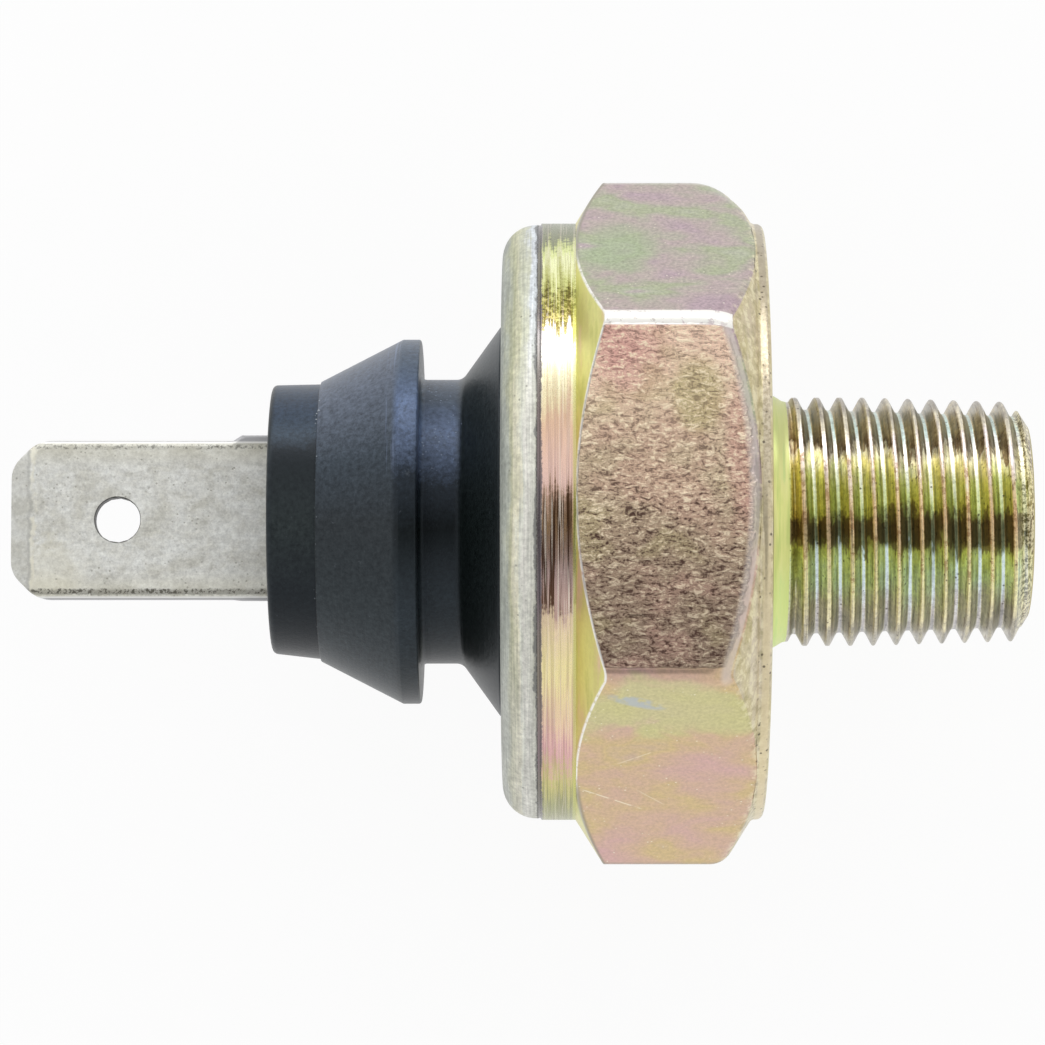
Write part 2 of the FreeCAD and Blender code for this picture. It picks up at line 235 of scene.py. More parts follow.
class Surface(Graph):
    """Node tree of a piece's material, which knows each point's place in millimetres."""

    def __init__(self, name: str) -> None:
        """Start an empty material of that name."""
        super().__init__(bpy.data.materials.new(name), "ShaderNodeOutputMaterial")
        where = self.node("ShaderNodeTexCoord").outputs["Object"]
        scaled = self.node("ShaderNodeVectorMath", {"operation": "SCALE"}, {0: where, "Scale": 1.0 / MM})
        self.place = scaled.outputs["Vector"]
        parts = self.node("ShaderNodeSeparateXYZ", None, {0: self.place})
        self.x, self.y, self.z = (Wire(self, part) for part in parts.outputs)

    def stretched(self, along: tuple[float, float, float],
                  shift: tuple[float, float, float] = (0.0, 0.0, 0.0)) -> bpy.types.NodeSocket:
        """The place in millimetres, multiplied along each axis and then moved."""
        inputs = {0: self.place, 1: along, 2: shift}
        return self.node("ShaderNodeVectorMath", {"operation": "MULTIPLY_ADD"}, inputs).outputs[0]

    def noise(self, vector: bpy.types.NodeSocket, scale: float, detail: float = 2.0,
              rough: float = 0.5, twist: float = 0.0) -> Wire:
        """Soft cloudy number between 0 and 1."""
        inputs = {"Vector": vector, "Scale": scale, "Detail": detail, "Roughness": rough, "Distortion": twist}
        return Wire(self, self.node("ShaderNodeTexNoise", None, inputs).outputs[0])

    def dots(self, scale: float, rim: float, core: float, patch_scale: float, low: float,
             high: float) -> Wire:
        """1 in the middle of scattered dots, 0 beside them and where a cloud leaves them out.

        Args:
            scale: how close together the dots are.
            rim, core: distance from a dot's middle at which it ends and is full.
            patch_scale: scale of the cloud.
            low, high: value of the cloud at which dots begin to show and show in full.

        Returns:
            The number.
        """
        cells = self.node("ShaderNodeTexVoronoi", None, {"Vector": self.place, "Scale": scale})
        patch = self.noise(self.place, patch_scale).rise(low, high)
        return Wire(self, cells.outputs[0]).rise(rim, core) * patch

    def ramp(self, value: Number, stops: list[tuple[float, float, float, float]]) -> Tone:
        """Colour read off a row of stops, each a position and three steps of 0 to 255."""
        made = self.node("ShaderNodeValToRGB", None, {0: value})
        row = made.color_ramp.elements
        while len(row) < len(stops):
            row.new(0.5)
        for element, (position, *steps) in zip(row, stops):
            element.position = position
            element.color = shade(*steps)
        return Tone(self, made.outputs[0])

    def bump(self, height: Wire, depth: float,
             before: bpy.types.NodeSocket | None = None) -> bpy.types.NodeSocket:
        """Surface normal roughened by a height that stands for depth millimetres."""
        inputs = {"Height": height, "Distance": depth * MM, "Strength": 1.0}
        if before is not None:
            inputs["Normal"] = before
        return self.node("ShaderNodeBump", None, inputs).outputs[0]

    def finish(self, colour: Tone, roughness: Number, metal: float, normal: bpy.types.NodeSocket,
               **constants: object) -> bpy.types.Material:
        """Close the material with one surface shader.

        Args:
            colour: base colour.
            roughness: how dull the surface is.
            metal: how metallic it is.
            normal: the roughened normal.
            constants: other sockets of the shader, with underscores for spaces.

        Returns:
            The finished material.
        """
        inputs = {"Base Color": colour, "Roughness": roughness, "Metallic": metal, "Normal": normal}
        inputs |= {key.replace("_", " "): value for key, value in constants.items()}
        self.close(self.node("ShaderNodeBsdfPrincipled", None, inputs))
        return self.owner

    def mark(self, name: str) -> Wire:
        """Number that the mesh carries at each of its points."""
        settings = {"attribute_type": "GEOMETRY", "attribute_name": name}
        return Wire(self, self.node("ShaderNodeAttribute", settings).outputs["Fac"])

    def spot(self, x: float, across: Wire, at: float, long: float, wide: float) -> Wire:
        """1 in the middle of an oval at place (x, at), falling to 0 at its rim."""
        first = (self.x - x) / long
        second = (across - at) / wide
        return (first * first + second * second).rise(1.0, 0.2)

    def scratch(self, across: Wire, start: tuple[float, float], stop: tuple[float, float],
                wide: float) -> Wire:
        """1 on a thin straight line between two places (x, across), 0 beside it.

        The distance from the line is the place's share along the line's normal, and the length is
        limited by its share along the line itself.
        """
        run = math.dist(start, stop)
        ahead = ((stop[0] - start[0]) / run, (stop[1] - start[1]) / run)
        along = (self.x - start[0]) * ahead[0] + (across - start[1]) * ahead[1]
        beside = (across - start[1]) * ahead[0] - (self.x - start[0]) * ahead[1]
        inside = (along - run / 2).size().rise(run / 2, run / 2 - 0.3)
        return beside.size().rise(wide, 0.0) * inside

    def within(self, value: Wire, low: float, high: float, soft: float) -> Wire:
        """1 between two limits, falling to 0 over a soft edge outside them."""
        return value.rise(low - soft, low) * value.rise(high + soft, high)

    def across(self) -> Wire:
        """Height across the lying part as the leaning camera sees it, the same on its underside."""
        return self.y * math.cos(LEAN) + self.z.size() * math.sin(LEAN)

    def radius(self) -> Wire:
        """Distance from the sender's axis."""
        return (self.y * self.y + self.z * self.z).root()


@dataclass(frozen=True)
class HexagonFinish:
    """Yellow chromate on the hexagon: clouded smooth faces, wrinkled top and bottom flats.

    The mesh carries how far each point lies inside the front edge, the back edge and the corners.
    """

    flat_r: float
    wrinkle_depth: float = 0.12
    cloud_scale: float = 0.40

    def smooth(self, g: Surface, cloud: Wire, grain: Wire) -> Tone:
        """Clouds of mauve, green and straw on the turned and drawn faces, with specks."""
        upper = g.ramp(cloud, [
            (0.34, 180, 158, 166), (0.43, 184, 168, 164), (0.50, 178, 172, 158), (0.56, 170, 176, 144),
            (0.62, 178, 182, 158), (0.70, 184, 168, 170),
        ])
        mossy = g.spot(-5.7, g.across() + (cloud - 0.5) * 3.0, 10.4, 1.9, 1.3)
        upper.lay(mossy * 0.65, 164, 180, 142)
        lower = g.ramp(cloud, [
            (0.28, 216, 176, 174), (0.42, 214, 180, 164), (0.52, 214, 184, 154), (0.60, 214, 190, 142),
            (0.70, 208, 182, 160),
        ])
        olive = g.within(g.across() + (cloud - 0.5) * 3.0, -7.6, -6.4, 0.5)
        lower.lay(olive * 0.75, 206, 206, 148)
        colour = g.mix(g.across().rise(-3.0, 3.0), lower, upper)
        colour.grain(grain, 0.30 + g.y.rise(4.0, 6.0) * 0.35)
        colour.lay(g.dots(3.6, 0.17, 0.08, 0.9, 0.50, 0.64) * 0.7, 250, 246, 226)
        return colour

    def mark_faces(self, g: Surface, colour: Tone) -> None:
        """Handling marks on the two lower faces: three scratches and a pale smear."""
        down = g.y * -0.5 + g.z * -math.cos(math.radians(30.0))
        here = g.y.rise(-5.5, -6.5)
        break_up = g.noise(g.place, 3.0, 2.0).rise(0.36, 0.50)
        lines = g.scratch(down, (-7.2, 1.0), (-4.75, 2.5), 0.06)
        lines = lines + g.scratch(down, (-6.3, -0.5), (-4.3, -1.8), 0.05) * 0.6
        lines = lines + g.scratch(down, (-5.1, 1.0), (-3.9, 2.2), 0.05) * 0.5
        colour.lay(lines * here * break_up * 0.8, 250, 240, 214)
        smear = g.spot(-5.1, down - g.x * 0.35, -3.4, 1.3, 0.42)
        cloudy = g.noise(g.place, 2.2, 3.0).rise(0.38, 0.56)
        colour.lay(smear * here * cloudy * 0.8, 186, 194, 200)

    def turn_ends(self, g: Surface, colour: Tone, cloud: Wire, grain: Wire) -> None:
        """Back chamfer and front cone, with streaks along the turning."""
        streak = g.noise(g.stretched((3.0, 0.22, 0.22)), 1.0, 3.0, 0.6)
        chamfer = g.ramp(streak * 0.6 + cloud * 0.4, [
            (0.34, 226, 196, 162), (0.44, 218, 210, 134), (0.54, 226, 222, 142), (0.64, 202, 202, 116),
        ])
        chamfer.grain(grain, 0.10)
        colour.lay(g.mark("back_gap").rise(0.0, -0.05), chamfer)
        cone = g.ramp(streak * 0.5 + cloud * 0.5, [
            (0.36, 204, 188, 160), (0.48, 204, 192, 150), (0.60, 212, 200, 176),
        ])
        cone.grain(grain, 0.10)
        colour.lay(g.mark("front_gap").rise(0.0, -0.06), cone)

    def face_front(self, g: Surface, colour: Tone, cloud: Wire, grain: Wire) -> None:
        """Flecks on the front cone and on the end face, whose rim is a collar of painted highlight, darker
        towards the top and lighter towards the bottom.
        """
        up = g.across()
        mottle = g.noise(g.stretched((1.0, 0.7, 0.7)), 3.2, 4.0, 0.7, 0.3)
        ahead = g.mark("front_gap").rise(0.30, -0.05)
        end_face = g.x.rise(-0.06, -0.01)
        away = g.node("ShaderNodeCombineXYZ", None, {0: g.radius() * 7.0, 1: g.y * 0.15}).outputs[0]
        rings = g.noise(away, 1.0, 3.0, 0.7)
        colour.lay(end_face * rings.rise(0.42, 0.60) * 0.5, 228, 216, 150)
        colour.lay(end_face * cloud.rise(0.50, 0.64) * 0.35, 196, 206, 172)
        calm = 1.0 - end_face * 0.75
        colour.lay(ahead * calm * mottle.rise(0.50, 0.60) * 0.55, 244, 236, 200)
        colour.lay(ahead * calm * mottle.rise(0.48, 0.36) * 0.45, 150, 142, 100)
        dots = g.dots(3.6, 0.27, 0.12, 1.1, 0.40, 0.52)
        collar = g.x.rise(-0.42, -0.34) * g.x.rise(-0.06, -0.14)
        # Painted highlight along the collar: darker towards the top, lighter towards the bottom.
        skin = g.mix(grain.rise(0.40, 0.60), shade(180, 166, 142), shade(218, 206, 184))
        skin.lay(up.rise(6.0, 10.0) * 0.9, 166, 156, 138)
        skin.lay(up.rise(4.0, -2.0) * 0.8, 238, 222, 182)
        colour.lay(collar * 0.8, skin)
        colour.lay(g.x.rise(-0.6, -0.5) * g.x.rise(-0.03, -0.06) * dots * 0.8, 72, 62, 52)

    def wrinkle(self, g: Surface, colour: Tone, cloud: Wire) -> tuple[Wire, Wire]:
        """Wrinkled skin on the top and bottom flats, with ragged edges, a painted light gradient, painted
        shade in its creases and painted highlights on its ridges and front rounding.

        Returns:
            Where the skin lies, and how high it stands there.
        """
        front = g.mark("front_gap")
        back = g.mark("back_gap")
        side = g.mark("side_gap")
        up = g.across()
        wander = g.noise(g.place, 1.6, 3.0, 0.6)
        rough = g.z.size().rise(self.flat_r - 0.16, self.flat_r - 0.03)
        rough = rough * (front + (wander - 0.5) * 0.5).rise(0.16, 0.34)
        rough = rough * (back + (wander - 0.5) * 0.10).rise(0.0, 0.06)
        rough = rough * (side + (wander - 0.5) * 0.12).rise(0.0, 0.10)
        folds = g.noise(g.stretched((1.0, 2.1, 1.0)), 2.6, 5.0, 0.72, 0.8)
        fine = g.noise(g.stretched((1.0, 1.4, 1.0)), 8.0, 3.0, 0.7, 0.2)
        height = folds + fine * 0.45
        # Painted light gradient: the skin runs lighter towards +Y and darker towards -Y.
        skin = g.ramp(up * 0.055 + 0.5 + (cloud - 0.5) * 0.25, [
            (0.12, 150, 128, 112), (0.32, 162, 140, 120), (0.48, 178, 156, 132), (0.62, 202, 180, 152),
            (0.76, 226, 200, 172), (0.90, 246, 212, 190),
        ])
        blush = g.noise(g.stretched((0.8, 1.0, 1.0), shift=(7.0, 3.0, 1.0)), 0.5, 2.0, 0.5)
        rosy = blush.rise(0.50, 0.64) * 0.5 + g.spot(-5.4, g.y, 5.6, 1.8, 2.6)
        rosy = rosy + g.spot(-1.0, g.y, 1.8, 1.0, 3.0)
        skin.lay(rosy * 0.50, 212, 158, 150)
        moss = blush.rise(0.48, 0.36) * 0.5 + g.spot(-2.8, g.y, 3.8, 1.2, 1.8)
        skin.lay(moss * 0.50, 178, 174, 112)
        # Painted shade: darker towards -Y.
        skin.lay(g.y.rise(1.0, -6.0) * 0.25, 112, 98, 82)
        # Painted shade in the creases, stronger towards -Y.
        deep = (0.50 + up.rise(6.0, -2.0) * 0.50) * (0.60 + 0.8 * g.noise(g.place, 0.9, 3.0, 0.6))
        skin.lay(height.rise(0.715, 0.60) * deep, 84, 62, 54)
        # Painted highlight on the ridges, stronger towards +Y.
        shine = 0.42 + up.rise(-4.0, 3.0) * 0.40
        skin.lay(height.rise(0.75, 0.86) * shine, 252, 236, 206)
        colour.lay(rough, skin)
        # Painted highlight along the rounding into the front cone.
        rim = front.rise(0.55, 0.30) * front.rise(0.02, 0.10) * g.z.size().rise(11.0, 11.6)
        colour.lay(rim * 0.55, 224, 214, 206)
        return rough, height

    def edge_wear_and_highlight(self, g: Surface, colour: Tone, grain: Wire) -> None:
        """Bright rubbed edges, partly painted highlight where they catch the lamp, and painted shade: darker
        edges where they turn away from the light.
        """
        back = g.mark("back_gap")
        side = g.mark("side_gap")
        up = g.across()
        # Pale edges on the back chamfer and the upper side edges: rubbed metal, and painted highlight where
        # they catch the lamp.
        wear_and_highlight = back.size().rise(0.07, 0.02) + side.rise(0.09, -0.02) * g.y.rise(0.0, 2.0) * 1.6
        wear_and_highlight = wear_and_highlight * (0.35 + 0.65 * g.noise(g.place, 3.2, 4.0, 0.75).rise(0.38, 0.50))
        brink = up.size().rise(9.6, 10.6)
        colour.lay(wear_and_highlight * (0.90 - brink * 0.60), 254, 252, 246)
        # Painted shade: the back edge darker near the top and bottom of the part.
        colour.lay(back.size().rise(0.16, 0.04) * brink * 0.7, 146, 142, 124)
        # Painted shade on the corner edges at the very top and bottom, where they turn away from the light.
        crown = side.rise(0.10, -0.20) * up.size().rise(12.6, 13.1) * grain.rise(0.36, 0.56)
        colour.lay(crown * 0.6, 138, 134, 122)

    def material(self) -> bpy.types.Material:
        """Smooth faces, turned ends, wrinkled flats and bright rubbed edges with painted highlight and shade,
        in that order.
        """
        g = Surface("chromate_hexagon")
        cloud = g.noise(g.stretched((0.75, 1.0, 1.0)), self.cloud_scale, 3.5, 0.52, 0.25)
        grain = g.noise(g.place, 7.5, 3.0, 0.65)
        colour = self.smooth(g, cloud, grain)
        self.mark_faces(g, colour)
        self.turn_ends(g, colour, cloud, grain)
        self.face_front(g, colour, cloud, grain)
        rough, height = self.wrinkle(g, colour, cloud)
        self.edge_wear_and_highlight(g, colour, grain)
        dent = g.spot(-5.06, g.y, -4.55, 0.42, 0.12) * g.z.rise(0.0, 1.0)
        normal = g.bump(grain, 0.006)
        normal = g.bump(height * rough - dent * 0.9, self.wrinkle_depth, normal)
        roughness = 0.27 + rough * 0.10 + grain * 0.08
        return g.finish(colour, roughness, 0.82, normal)


@dataclass(frozen=True)
class RingFinish:
    """Turned ring: bands of chromate colour and painted reflection round it under fine turning lines."""

    ring_r: float
    front_x: float
    seam_x: float

    def material(self) -> bpy.types.Material:
        """Colour by height across the ring with painted reflection in its bands, lines along the turning,
        grime at the seam.
        """
        g = Surface("chromate_ring")
        lines = g.noise(g.stretched((7.0, 0.10, 0.10)), 1.0, 3.0, 0.75)
        fine = g.noise(g.stretched((17.0, 0.22, 0.22)), 1.0, 2.0, 0.6)
        speck = g.noise(g.place, 5.0, 3.0, 0.7)
        patch = g.noise(g.stretched((1.3, 0.45, 0.45)), 1.0, 2.0)
        up = g.across() / (2.0 * self.ring_r) + 0.5
        up = up + (lines - 0.5) * 0.16 + (speck - 0.5) * 0.05 + (patch - 0.5) * 0.05
        # The bands mix chromate colour with painted reflection: dark brown where the ring faces the camera,
        # near white where it catches the lamp.
        colour = g.ramp(up, [
            (0.03, 166, 168, 116), (0.08, 208, 200, 132), (0.13, 224, 176, 178), (0.19, 246, 216, 182),
            (0.26, 255, 240, 178), (0.34, 244, 220, 186), (0.365, 196, 164, 152), (0.43, 206, 178, 172),
            (0.50, 176, 142, 104), (0.545, 218, 182, 160), (0.56, 252, 214, 202), (0.66, 244, 206, 176),
            (0.70, 250, 234, 192), (0.75, 246, 242, 206), (0.780, 252, 250, 232), (0.800, 254, 250, 238),
            (0.812, 116, 102, 48), (0.862, 154, 152, 74), (0.890, 218, 222, 146), (0.92, 250, 252, 204),
            (0.945, 226, 234, 160), (0.962, 140, 144, 116),
        ])
        # The dark turning lines are strongest in the band of painted reflection that faces the camera.
        middle = g.within(up, 0.36, 0.53, 0.02)
        colour.lay(lines.rise(0.52, 0.45) * (0.22 + middle * 0.72), 78, 50, 30)
        colour.lay(fine.rise(0.55, 0.63) * (0.25 + middle * 0.50), 252, 238, 222)
        clumps = g.within(up, 0.82, 0.870, 0.015)
        colour.lay(speck.rise(0.54, 0.60) * clumps * 0.6, 220, 208, 136)
        colour.lay(speck.rise(0.46, 0.40) * clumps * 0.7, 80, 70, 30)
        seam = g.x + (speck - 0.5) * 0.16 + (patch - 0.5) * 0.12
        seam = seam.rise(self.seam_x + 0.10, self.seam_x + 0.05)
        colour.lay(seam * 0.85, 112, 106, 112)
        lime = g.x.rise(self.front_x - 0.16, self.front_x - 0.08) * up.rise(0.90, 0.80)
        colour.lay(lime * 0.6, 204, 206, 110)
        normal = g.bump(lines * 0.6 + fine * 0.4, 0.030)
        return g.finish(colour, 0.20 + speck * 0.14, 0.92, normal)


@dataclass(frozen=True)
class RimFinish:
    """Rolled rim: paler silver with olive and straw streaks round it, a painted bluish highlight above,
    painted light below, and a grimy seam.
    """

    face_x: float
    seam_x: float

    def material(self) -> bpy.types.Material:
        """Bands by place along the rim, broken by streaks drawn out round it."""
        g = Surface("chromate_rim")
        streak = g.noise(g.stretched((2.6, 0.09, 0.09)), 1.0, 4.0, 0.65)
        patch = g.noise(g.stretched((0.9, 0.35, 0.35)), 1.0, 3.0, 0.6, 0.3)
        share = (g.x - self.face_x) / (self.seam_x - self.face_x)
        share = share + (streak - 0.5) * 0.55 + (patch - 0.5) * 0.40
        colour = g.ramp(share, [
            (0.05, 160, 164, 156), (0.18, 178, 182, 172), (0.30, 184, 184, 156), (0.42, 226, 222, 200),
            (0.52, 218, 220, 208), (0.64, 224, 222, 214), (0.78, 218, 218, 208), (0.92, 200, 200, 186),
        ])
        up = g.across()
        # Painted highlight: a bluish-white band on the upper side towards the seam.
        colour.lay(up.rise(4.0, 9.0) * share.rise(0.50, 0.70) * 0.65, 196, 204, 216)
        colour.lay(up.rise(3.0, 7.0) * g.within(share, 0.22, 0.60, 0.12) * 0.60, 176, 178, 148)
        # Painted light: paler towards the bottom.
        colour.lay(up.rise(-3.0, -8.0) * 0.40, 212, 212, 206)
        fine = g.noise(g.stretched((14.0, 0.4, 0.4)), 1.0, 2.0)
        speck = g.noise(g.place, 4.5, 4.0, 0.75)
        colour.grain(speck, 0.60)
        colour.grain(fine, 0.40)
        seam = g.x + (patch - 0.5) * 0.8 + (speck - 0.5) * 0.35
        grime = seam.rise(self.seam_x - 0.20, self.seam_x - 0.12)
        colour.lay(grime * 0.80, 110, 110, 110)
        groove = (g.x + (speck - 0.5) * 0.10).rise(self.seam_x - 0.15, self.seam_x - 0.11)
        colour.lay(groove * speck.rise(0.60, 0.46) * 0.9, 74, 70, 66)
        colour.lay(g.dots(3.2, 0.20, 0.08, 1.1, 0.50, 0.62) * 0.6, 96, 94, 84)
        normal = g.bump(fine * 0.5 + speck * 0.5, 0.014)
        return g.finish(colour, 0.50 + fine * 0.1, 0.45, normal)


@dataclass(frozen=True)
class NeckFinish:
    """Plain neck between hexagon and thread, bright lime yellow."""

    def material(self) -> bpy.types.Material:
        """Lime and straw bands round the neck, with painted shade towards the top and painted light towards
        the bottom.
        """
        g = Surface("chromate_neck")
        band = g.noise(g.stretched((3.0, 0.25, 0.25)), 1.0, 3.0, 0.6)
        colour = g.ramp(band, [
            (0.34, 214, 226, 138), (0.46, 236, 240, 154), (0.56, 244, 244, 166), (0.66, 220, 238, 158),
        ])
        # Painted shade towards the top and painted light towards the bottom.
        colour.lay(g.across().rise(0.5, 3.5) * 0.7, 176, 182, 122)
        colour.lay(g.across().rise(-1.0, -3.0) * 0.6, 226, 250, 158)
        normal = g.bump(band, 0.01)
        return g.finish(colour, 0.34 + band * 0.1, 0.45, normal)


@dataclass(frozen=True)
class ThreadFinish:
    """Thread: pale crests, partly rubbed and partly painted highlight, over valleys of olive, lime and green,
    with painted reflection in bands across it.

    The mesh carries where each point lies in its lap: the cosine is 1 on a crest and -1 in a
    valley, and the sine tells the two flanks apart.
    """

    spigot_end_x: float

    def material(self) -> bpy.types.Material:
        """Flank and valley colours by height across the part, holding painted reflection and highlight,
        rubbed crests with painted highlight, a speckled end.
        """
        g = Surface("chromate_thread")
        ridge = g.mark("lap_cosine")
        flank = g.mark("lap_sine")
        wander = g.noise(g.stretched((1.1, 0.6, 0.6)), 1.0, 3.0, 0.65, 0.3)
        flame = g.noise(g.stretched((4.5, 0.7, 0.7)), 1.0, 3.0, 0.65)
        speck = g.noise(g.place, 6.0, 3.0, 0.7)
        up = g.across() / 10.0 + 0.5 + (wander - 0.5) * 0.28 + (flame - 0.5) * 0.20 + (speck - 0.5) * 0.06
        # The flank rows hold painted reflection: a dark band where the flanks face the camera, near white
        # where they catch the lamp.
        near_side = g.ramp(up, [
            (0.04, 186, 180, 166), (0.16, 194, 194, 160), (0.28, 212, 230, 194), (0.375, 214, 224, 156),
            (0.40, 132, 126, 88), (0.52, 132, 122, 84), (0.55, 184, 202, 124), (0.66, 204, 218, 144),
            (0.71, 224, 226, 188), (0.755, 236, 232, 212), (0.78, 116, 106, 86), (0.88, 168, 162, 134),
            (0.97, 156, 156, 142),
        ])
        far_side = g.ramp(up, [
            (0.04, 186, 182, 172), (0.16, 206, 200, 176), (0.28, 222, 228, 160), (0.375, 222, 222, 128),
            (0.40, 140, 124, 78), (0.52, 140, 114, 66), (0.55, 216, 196, 104), (0.66, 226, 212, 126),
            (0.71, 228, 214, 150), (0.755, 238, 230, 204), (0.78, 122, 96, 62), (0.87, 194, 176, 134),
            (0.97, 182, 176, 162),
        ])
        colour = g.mix(flank.rise(-0.35, 0.35), far_side, near_side)
        # The valley row holds painted reflection as well, near white where it catches the lamp.
        valley = g.ramp(up, [
            (0.05, 160, 158, 158), (0.14, 202, 196, 194), (0.26, 226, 240, 248), (0.37, 222, 242, 244),
            (0.41, 110, 122, 96), (0.51, 120, 124, 90), (0.56, 214, 230, 160), (0.66, 240, 246, 216),
            (0.77, 252, 252, 248), (0.86, 206, 228, 222), (0.96, 178, 180, 168),
        ])
        # Painted shade on the flanks beside each valley.
        beside = g.within(ridge, -0.66, -0.40, 0.16) * flame.rise(0.36, 0.56)
        colour.lay(beside * 0.45, 96, 102, 84)
        bottom = (ridge + (flame - 0.5) * 0.16).rise(-0.82, -0.93)
        colour.lay(bottom * 0.95, valley)
        # Crest tones: rubbed metal, with painted highlight near white where the crests catch the lamp.
        wear_and_highlight = g.ramp(up, [
            (0.05, 172, 166, 150), (0.14, 222, 212, 176), (0.28, 240, 232, 176), (0.40, 226, 206, 160),
            (0.52, 238, 204, 160), (0.62, 240, 214, 176), (0.70, 250, 232, 222), (0.78, 252, 240, 244),
            (0.88, 236, 228, 206), (0.97, 160, 152, 140),
        ])
        rubbed = g.noise(g.stretched((1.5, 1.5, 1.5)), 1.4, 4.0, 0.75).rise(0.50, 0.60)
        wear_and_highlight.lay(rubbed * g.within(up, 0.30, 0.72, 0.05) * 0.65, 150, 104, 66)
        crest = (ridge + (speck - 0.5) * 0.24).rise(0.76, 0.90)
        colour.lay(crest * 0.9, wear_and_highlight)
        foot = g.within(ridge, 0.55, 0.68, 0.10) * flame.rise(0.44, 0.56)
        colour.lay(foot * 0.6, 104, 78, 52)
        end = (g.x + (wander - 0.5) * 0.6).rise(self.spigot_end_x - 0.75, self.spigot_end_x - 0.45)
        speckled = g.mix(speck.rise(0.43, 0.55), shade(116, 104, 64), shade(230, 222, 182))
        colour.lay(end * 0.7, speckled)
        lines = g.noise(g.stretched((11.0, 0.35, 0.35)), 1.0, 3.0, 0.65)
        colour.grain(lines, 0.85)
        colour.lay(g.dots(3.6, 0.22, 0.08, 1.0, 0.44, 0.56) * 0.8, 48, 38, 34)
        colour.grain(speck, 0.60)
        normal = g.bump(lines * 0.6 + speck * 0.4, 0.02)
        return g.finish(colour, 0.22 + speck * 0.16, 0.86, normal)


@dataclass(frozen=True)
class InnerSteelFinish:
    """Inside of the body: evenly chromated, a little dull."""

    def material(self) -> bpy.types.Material:
        """Straw chromate with faint clouds and turning lines."""
        g = Surface("chromate_inside")
        cloud = g.noise(g.place, 0.8, 3.0, 0.6)
        lines = g.noise(g.stretched((8.0, 0.3, 0.3)), 1.0, 3.0, 0.6)
        colour = g.ramp(cloud, [
            (0.35, 176, 164, 108), (0.50, 196, 184, 130), (0.65, 180, 176, 140),
        ])
        return g.finish(colour, 0.38 + cloud * 0.1, 0.85, g.bump(lines, 0.01))


@dataclass(frozen=True)
class MouldingFinish:
    """Black moulded head: satin cone, darker groove and lip with a painted blue highlight, painted shade and
    glints, pale scuffs.
    """

    boss_end_x: float
    boss_root_x: float
    lip_back_x: float
    groove_low_x: float
    groove_high_x: float

    def material(self) -> bpy.types.Material:
        """Tone by how far round the surface lies, one row of tones for each stretch of it, each row holding
        painted highlight and shade.
        """
        g = Surface("black_moulding")
        grain = g.noise(g.place, 5.0, 4.0, 0.8)
        rings = g.noise(g.stretched((9.0, 0.12, 0.12)), 1.0, 3.0, 0.6)
        cloud = g.noise(g.place, 0.6, 3.0, 0.6)
        round_it = g.across() / g.radius() * 0.5 + 0.5 + (grain - 0.5) * 0.08 + (cloud - 0.5) * 0.06
        end = g.x.rise(self.boss_end_x + 0.30, self.boss_end_x + 0.05)
        # Each row holds painted highlight and shade: bluish painted highlights on the side towards the lamp,
        # darker where the surface faces the camera and at its lowest edge.
        boss = g.ramp(round_it, [
            (0.05, 14, 18, 20), (0.25, 20, 25, 27), (0.50, 42, 48, 48), (0.76, 10, 14, 15),
            (0.82, 48, 60, 72), (0.90, 46, 58, 74),
        ])
        cone = g.ramp(round_it, [
            (0.04, 48, 54, 57), (0.25, 44, 50, 52), (0.50, 42, 46, 48), (0.70, 54, 62, 70),
            (0.90, 84, 92, 106),
        ])
        deep = g.ramp(round_it, [
            (0.05, 32, 38, 40), (0.25, 41, 49, 54), (0.48, 12, 17, 16), (0.62, 30, 37, 45),
            (0.70, 72, 84, 106), (0.82, 88, 104, 134), (0.92, 70, 82, 98),
        ])
        well = g.ramp(round_it, [
            (0.10, 22, 27, 27), (0.50, 20, 26, 26), (0.85, 34, 40, 42), (0.97, 48, 54, 56),
        ])
        boss.lay(end, 34, 39, 41)
        colour = g.mix(g.x.rise(self.boss_root_x - 0.02, self.boss_root_x + 0.02), boss, cone)
        colour.lay(g.x.rise(self.lip_back_x - 0.35, self.lip_back_x - 0.05), deep)
        colour.lay(g.x.rise(self.groove_high_x - 0.3, self.groove_high_x + 0.1), well)
        colour.grain(grain, 1.3)
        # Painted glints: pale blue specks on the side towards the lamp in the groove; at the boss root they
        # are partly real specks.
        facing = round_it.rise(0.60, 0.74)
        specks_and_glints = g.dots(5.0, 0.24, 0.10, 2.0, 0.40, 0.56)
        groove = g.within(g.x, self.groove_low_x, self.groove_high_x, 0.1)
        colour.lay(groove * specks_and_glints * facing * 0.6, 150, 164, 190)
        at_root = g.within(g.x, self.boss_root_x - 0.06, self.boss_root_x + 0.06, 0.05)
        colour.lay(at_root * specks_and_glints * (0.25 + facing * 0.6), 170, 178, 184)
        # Painted highlight on the ring marks at the back of the lip, on the side towards the lamp.
        tool_marks_and_highlight = g.within(g.x, self.lip_back_x - 0.45, self.lip_back_x, 0.15) * rings.rise(0.50, 0.62)
        colour.lay(tool_marks_and_highlight * facing * 0.5, 120, 134, 164)
        scuff = g.noise(g.stretched((2.2, 2.2, 2.2)), 1.2, 4.0, 0.7).rise(0.66, 0.74)
        colour.lay(scuff * 0.18, 120, 128, 138)
        normal = g.bump(grain, 0.012)
        normal = g.bump(rings, 0.010, normal)
        return g.finish(colour, 0.26 + grain * 0.16, 0.0, normal,
                        Specular_Tint=shade(222, 234, 250), Specular_IOR_Level=0.30)


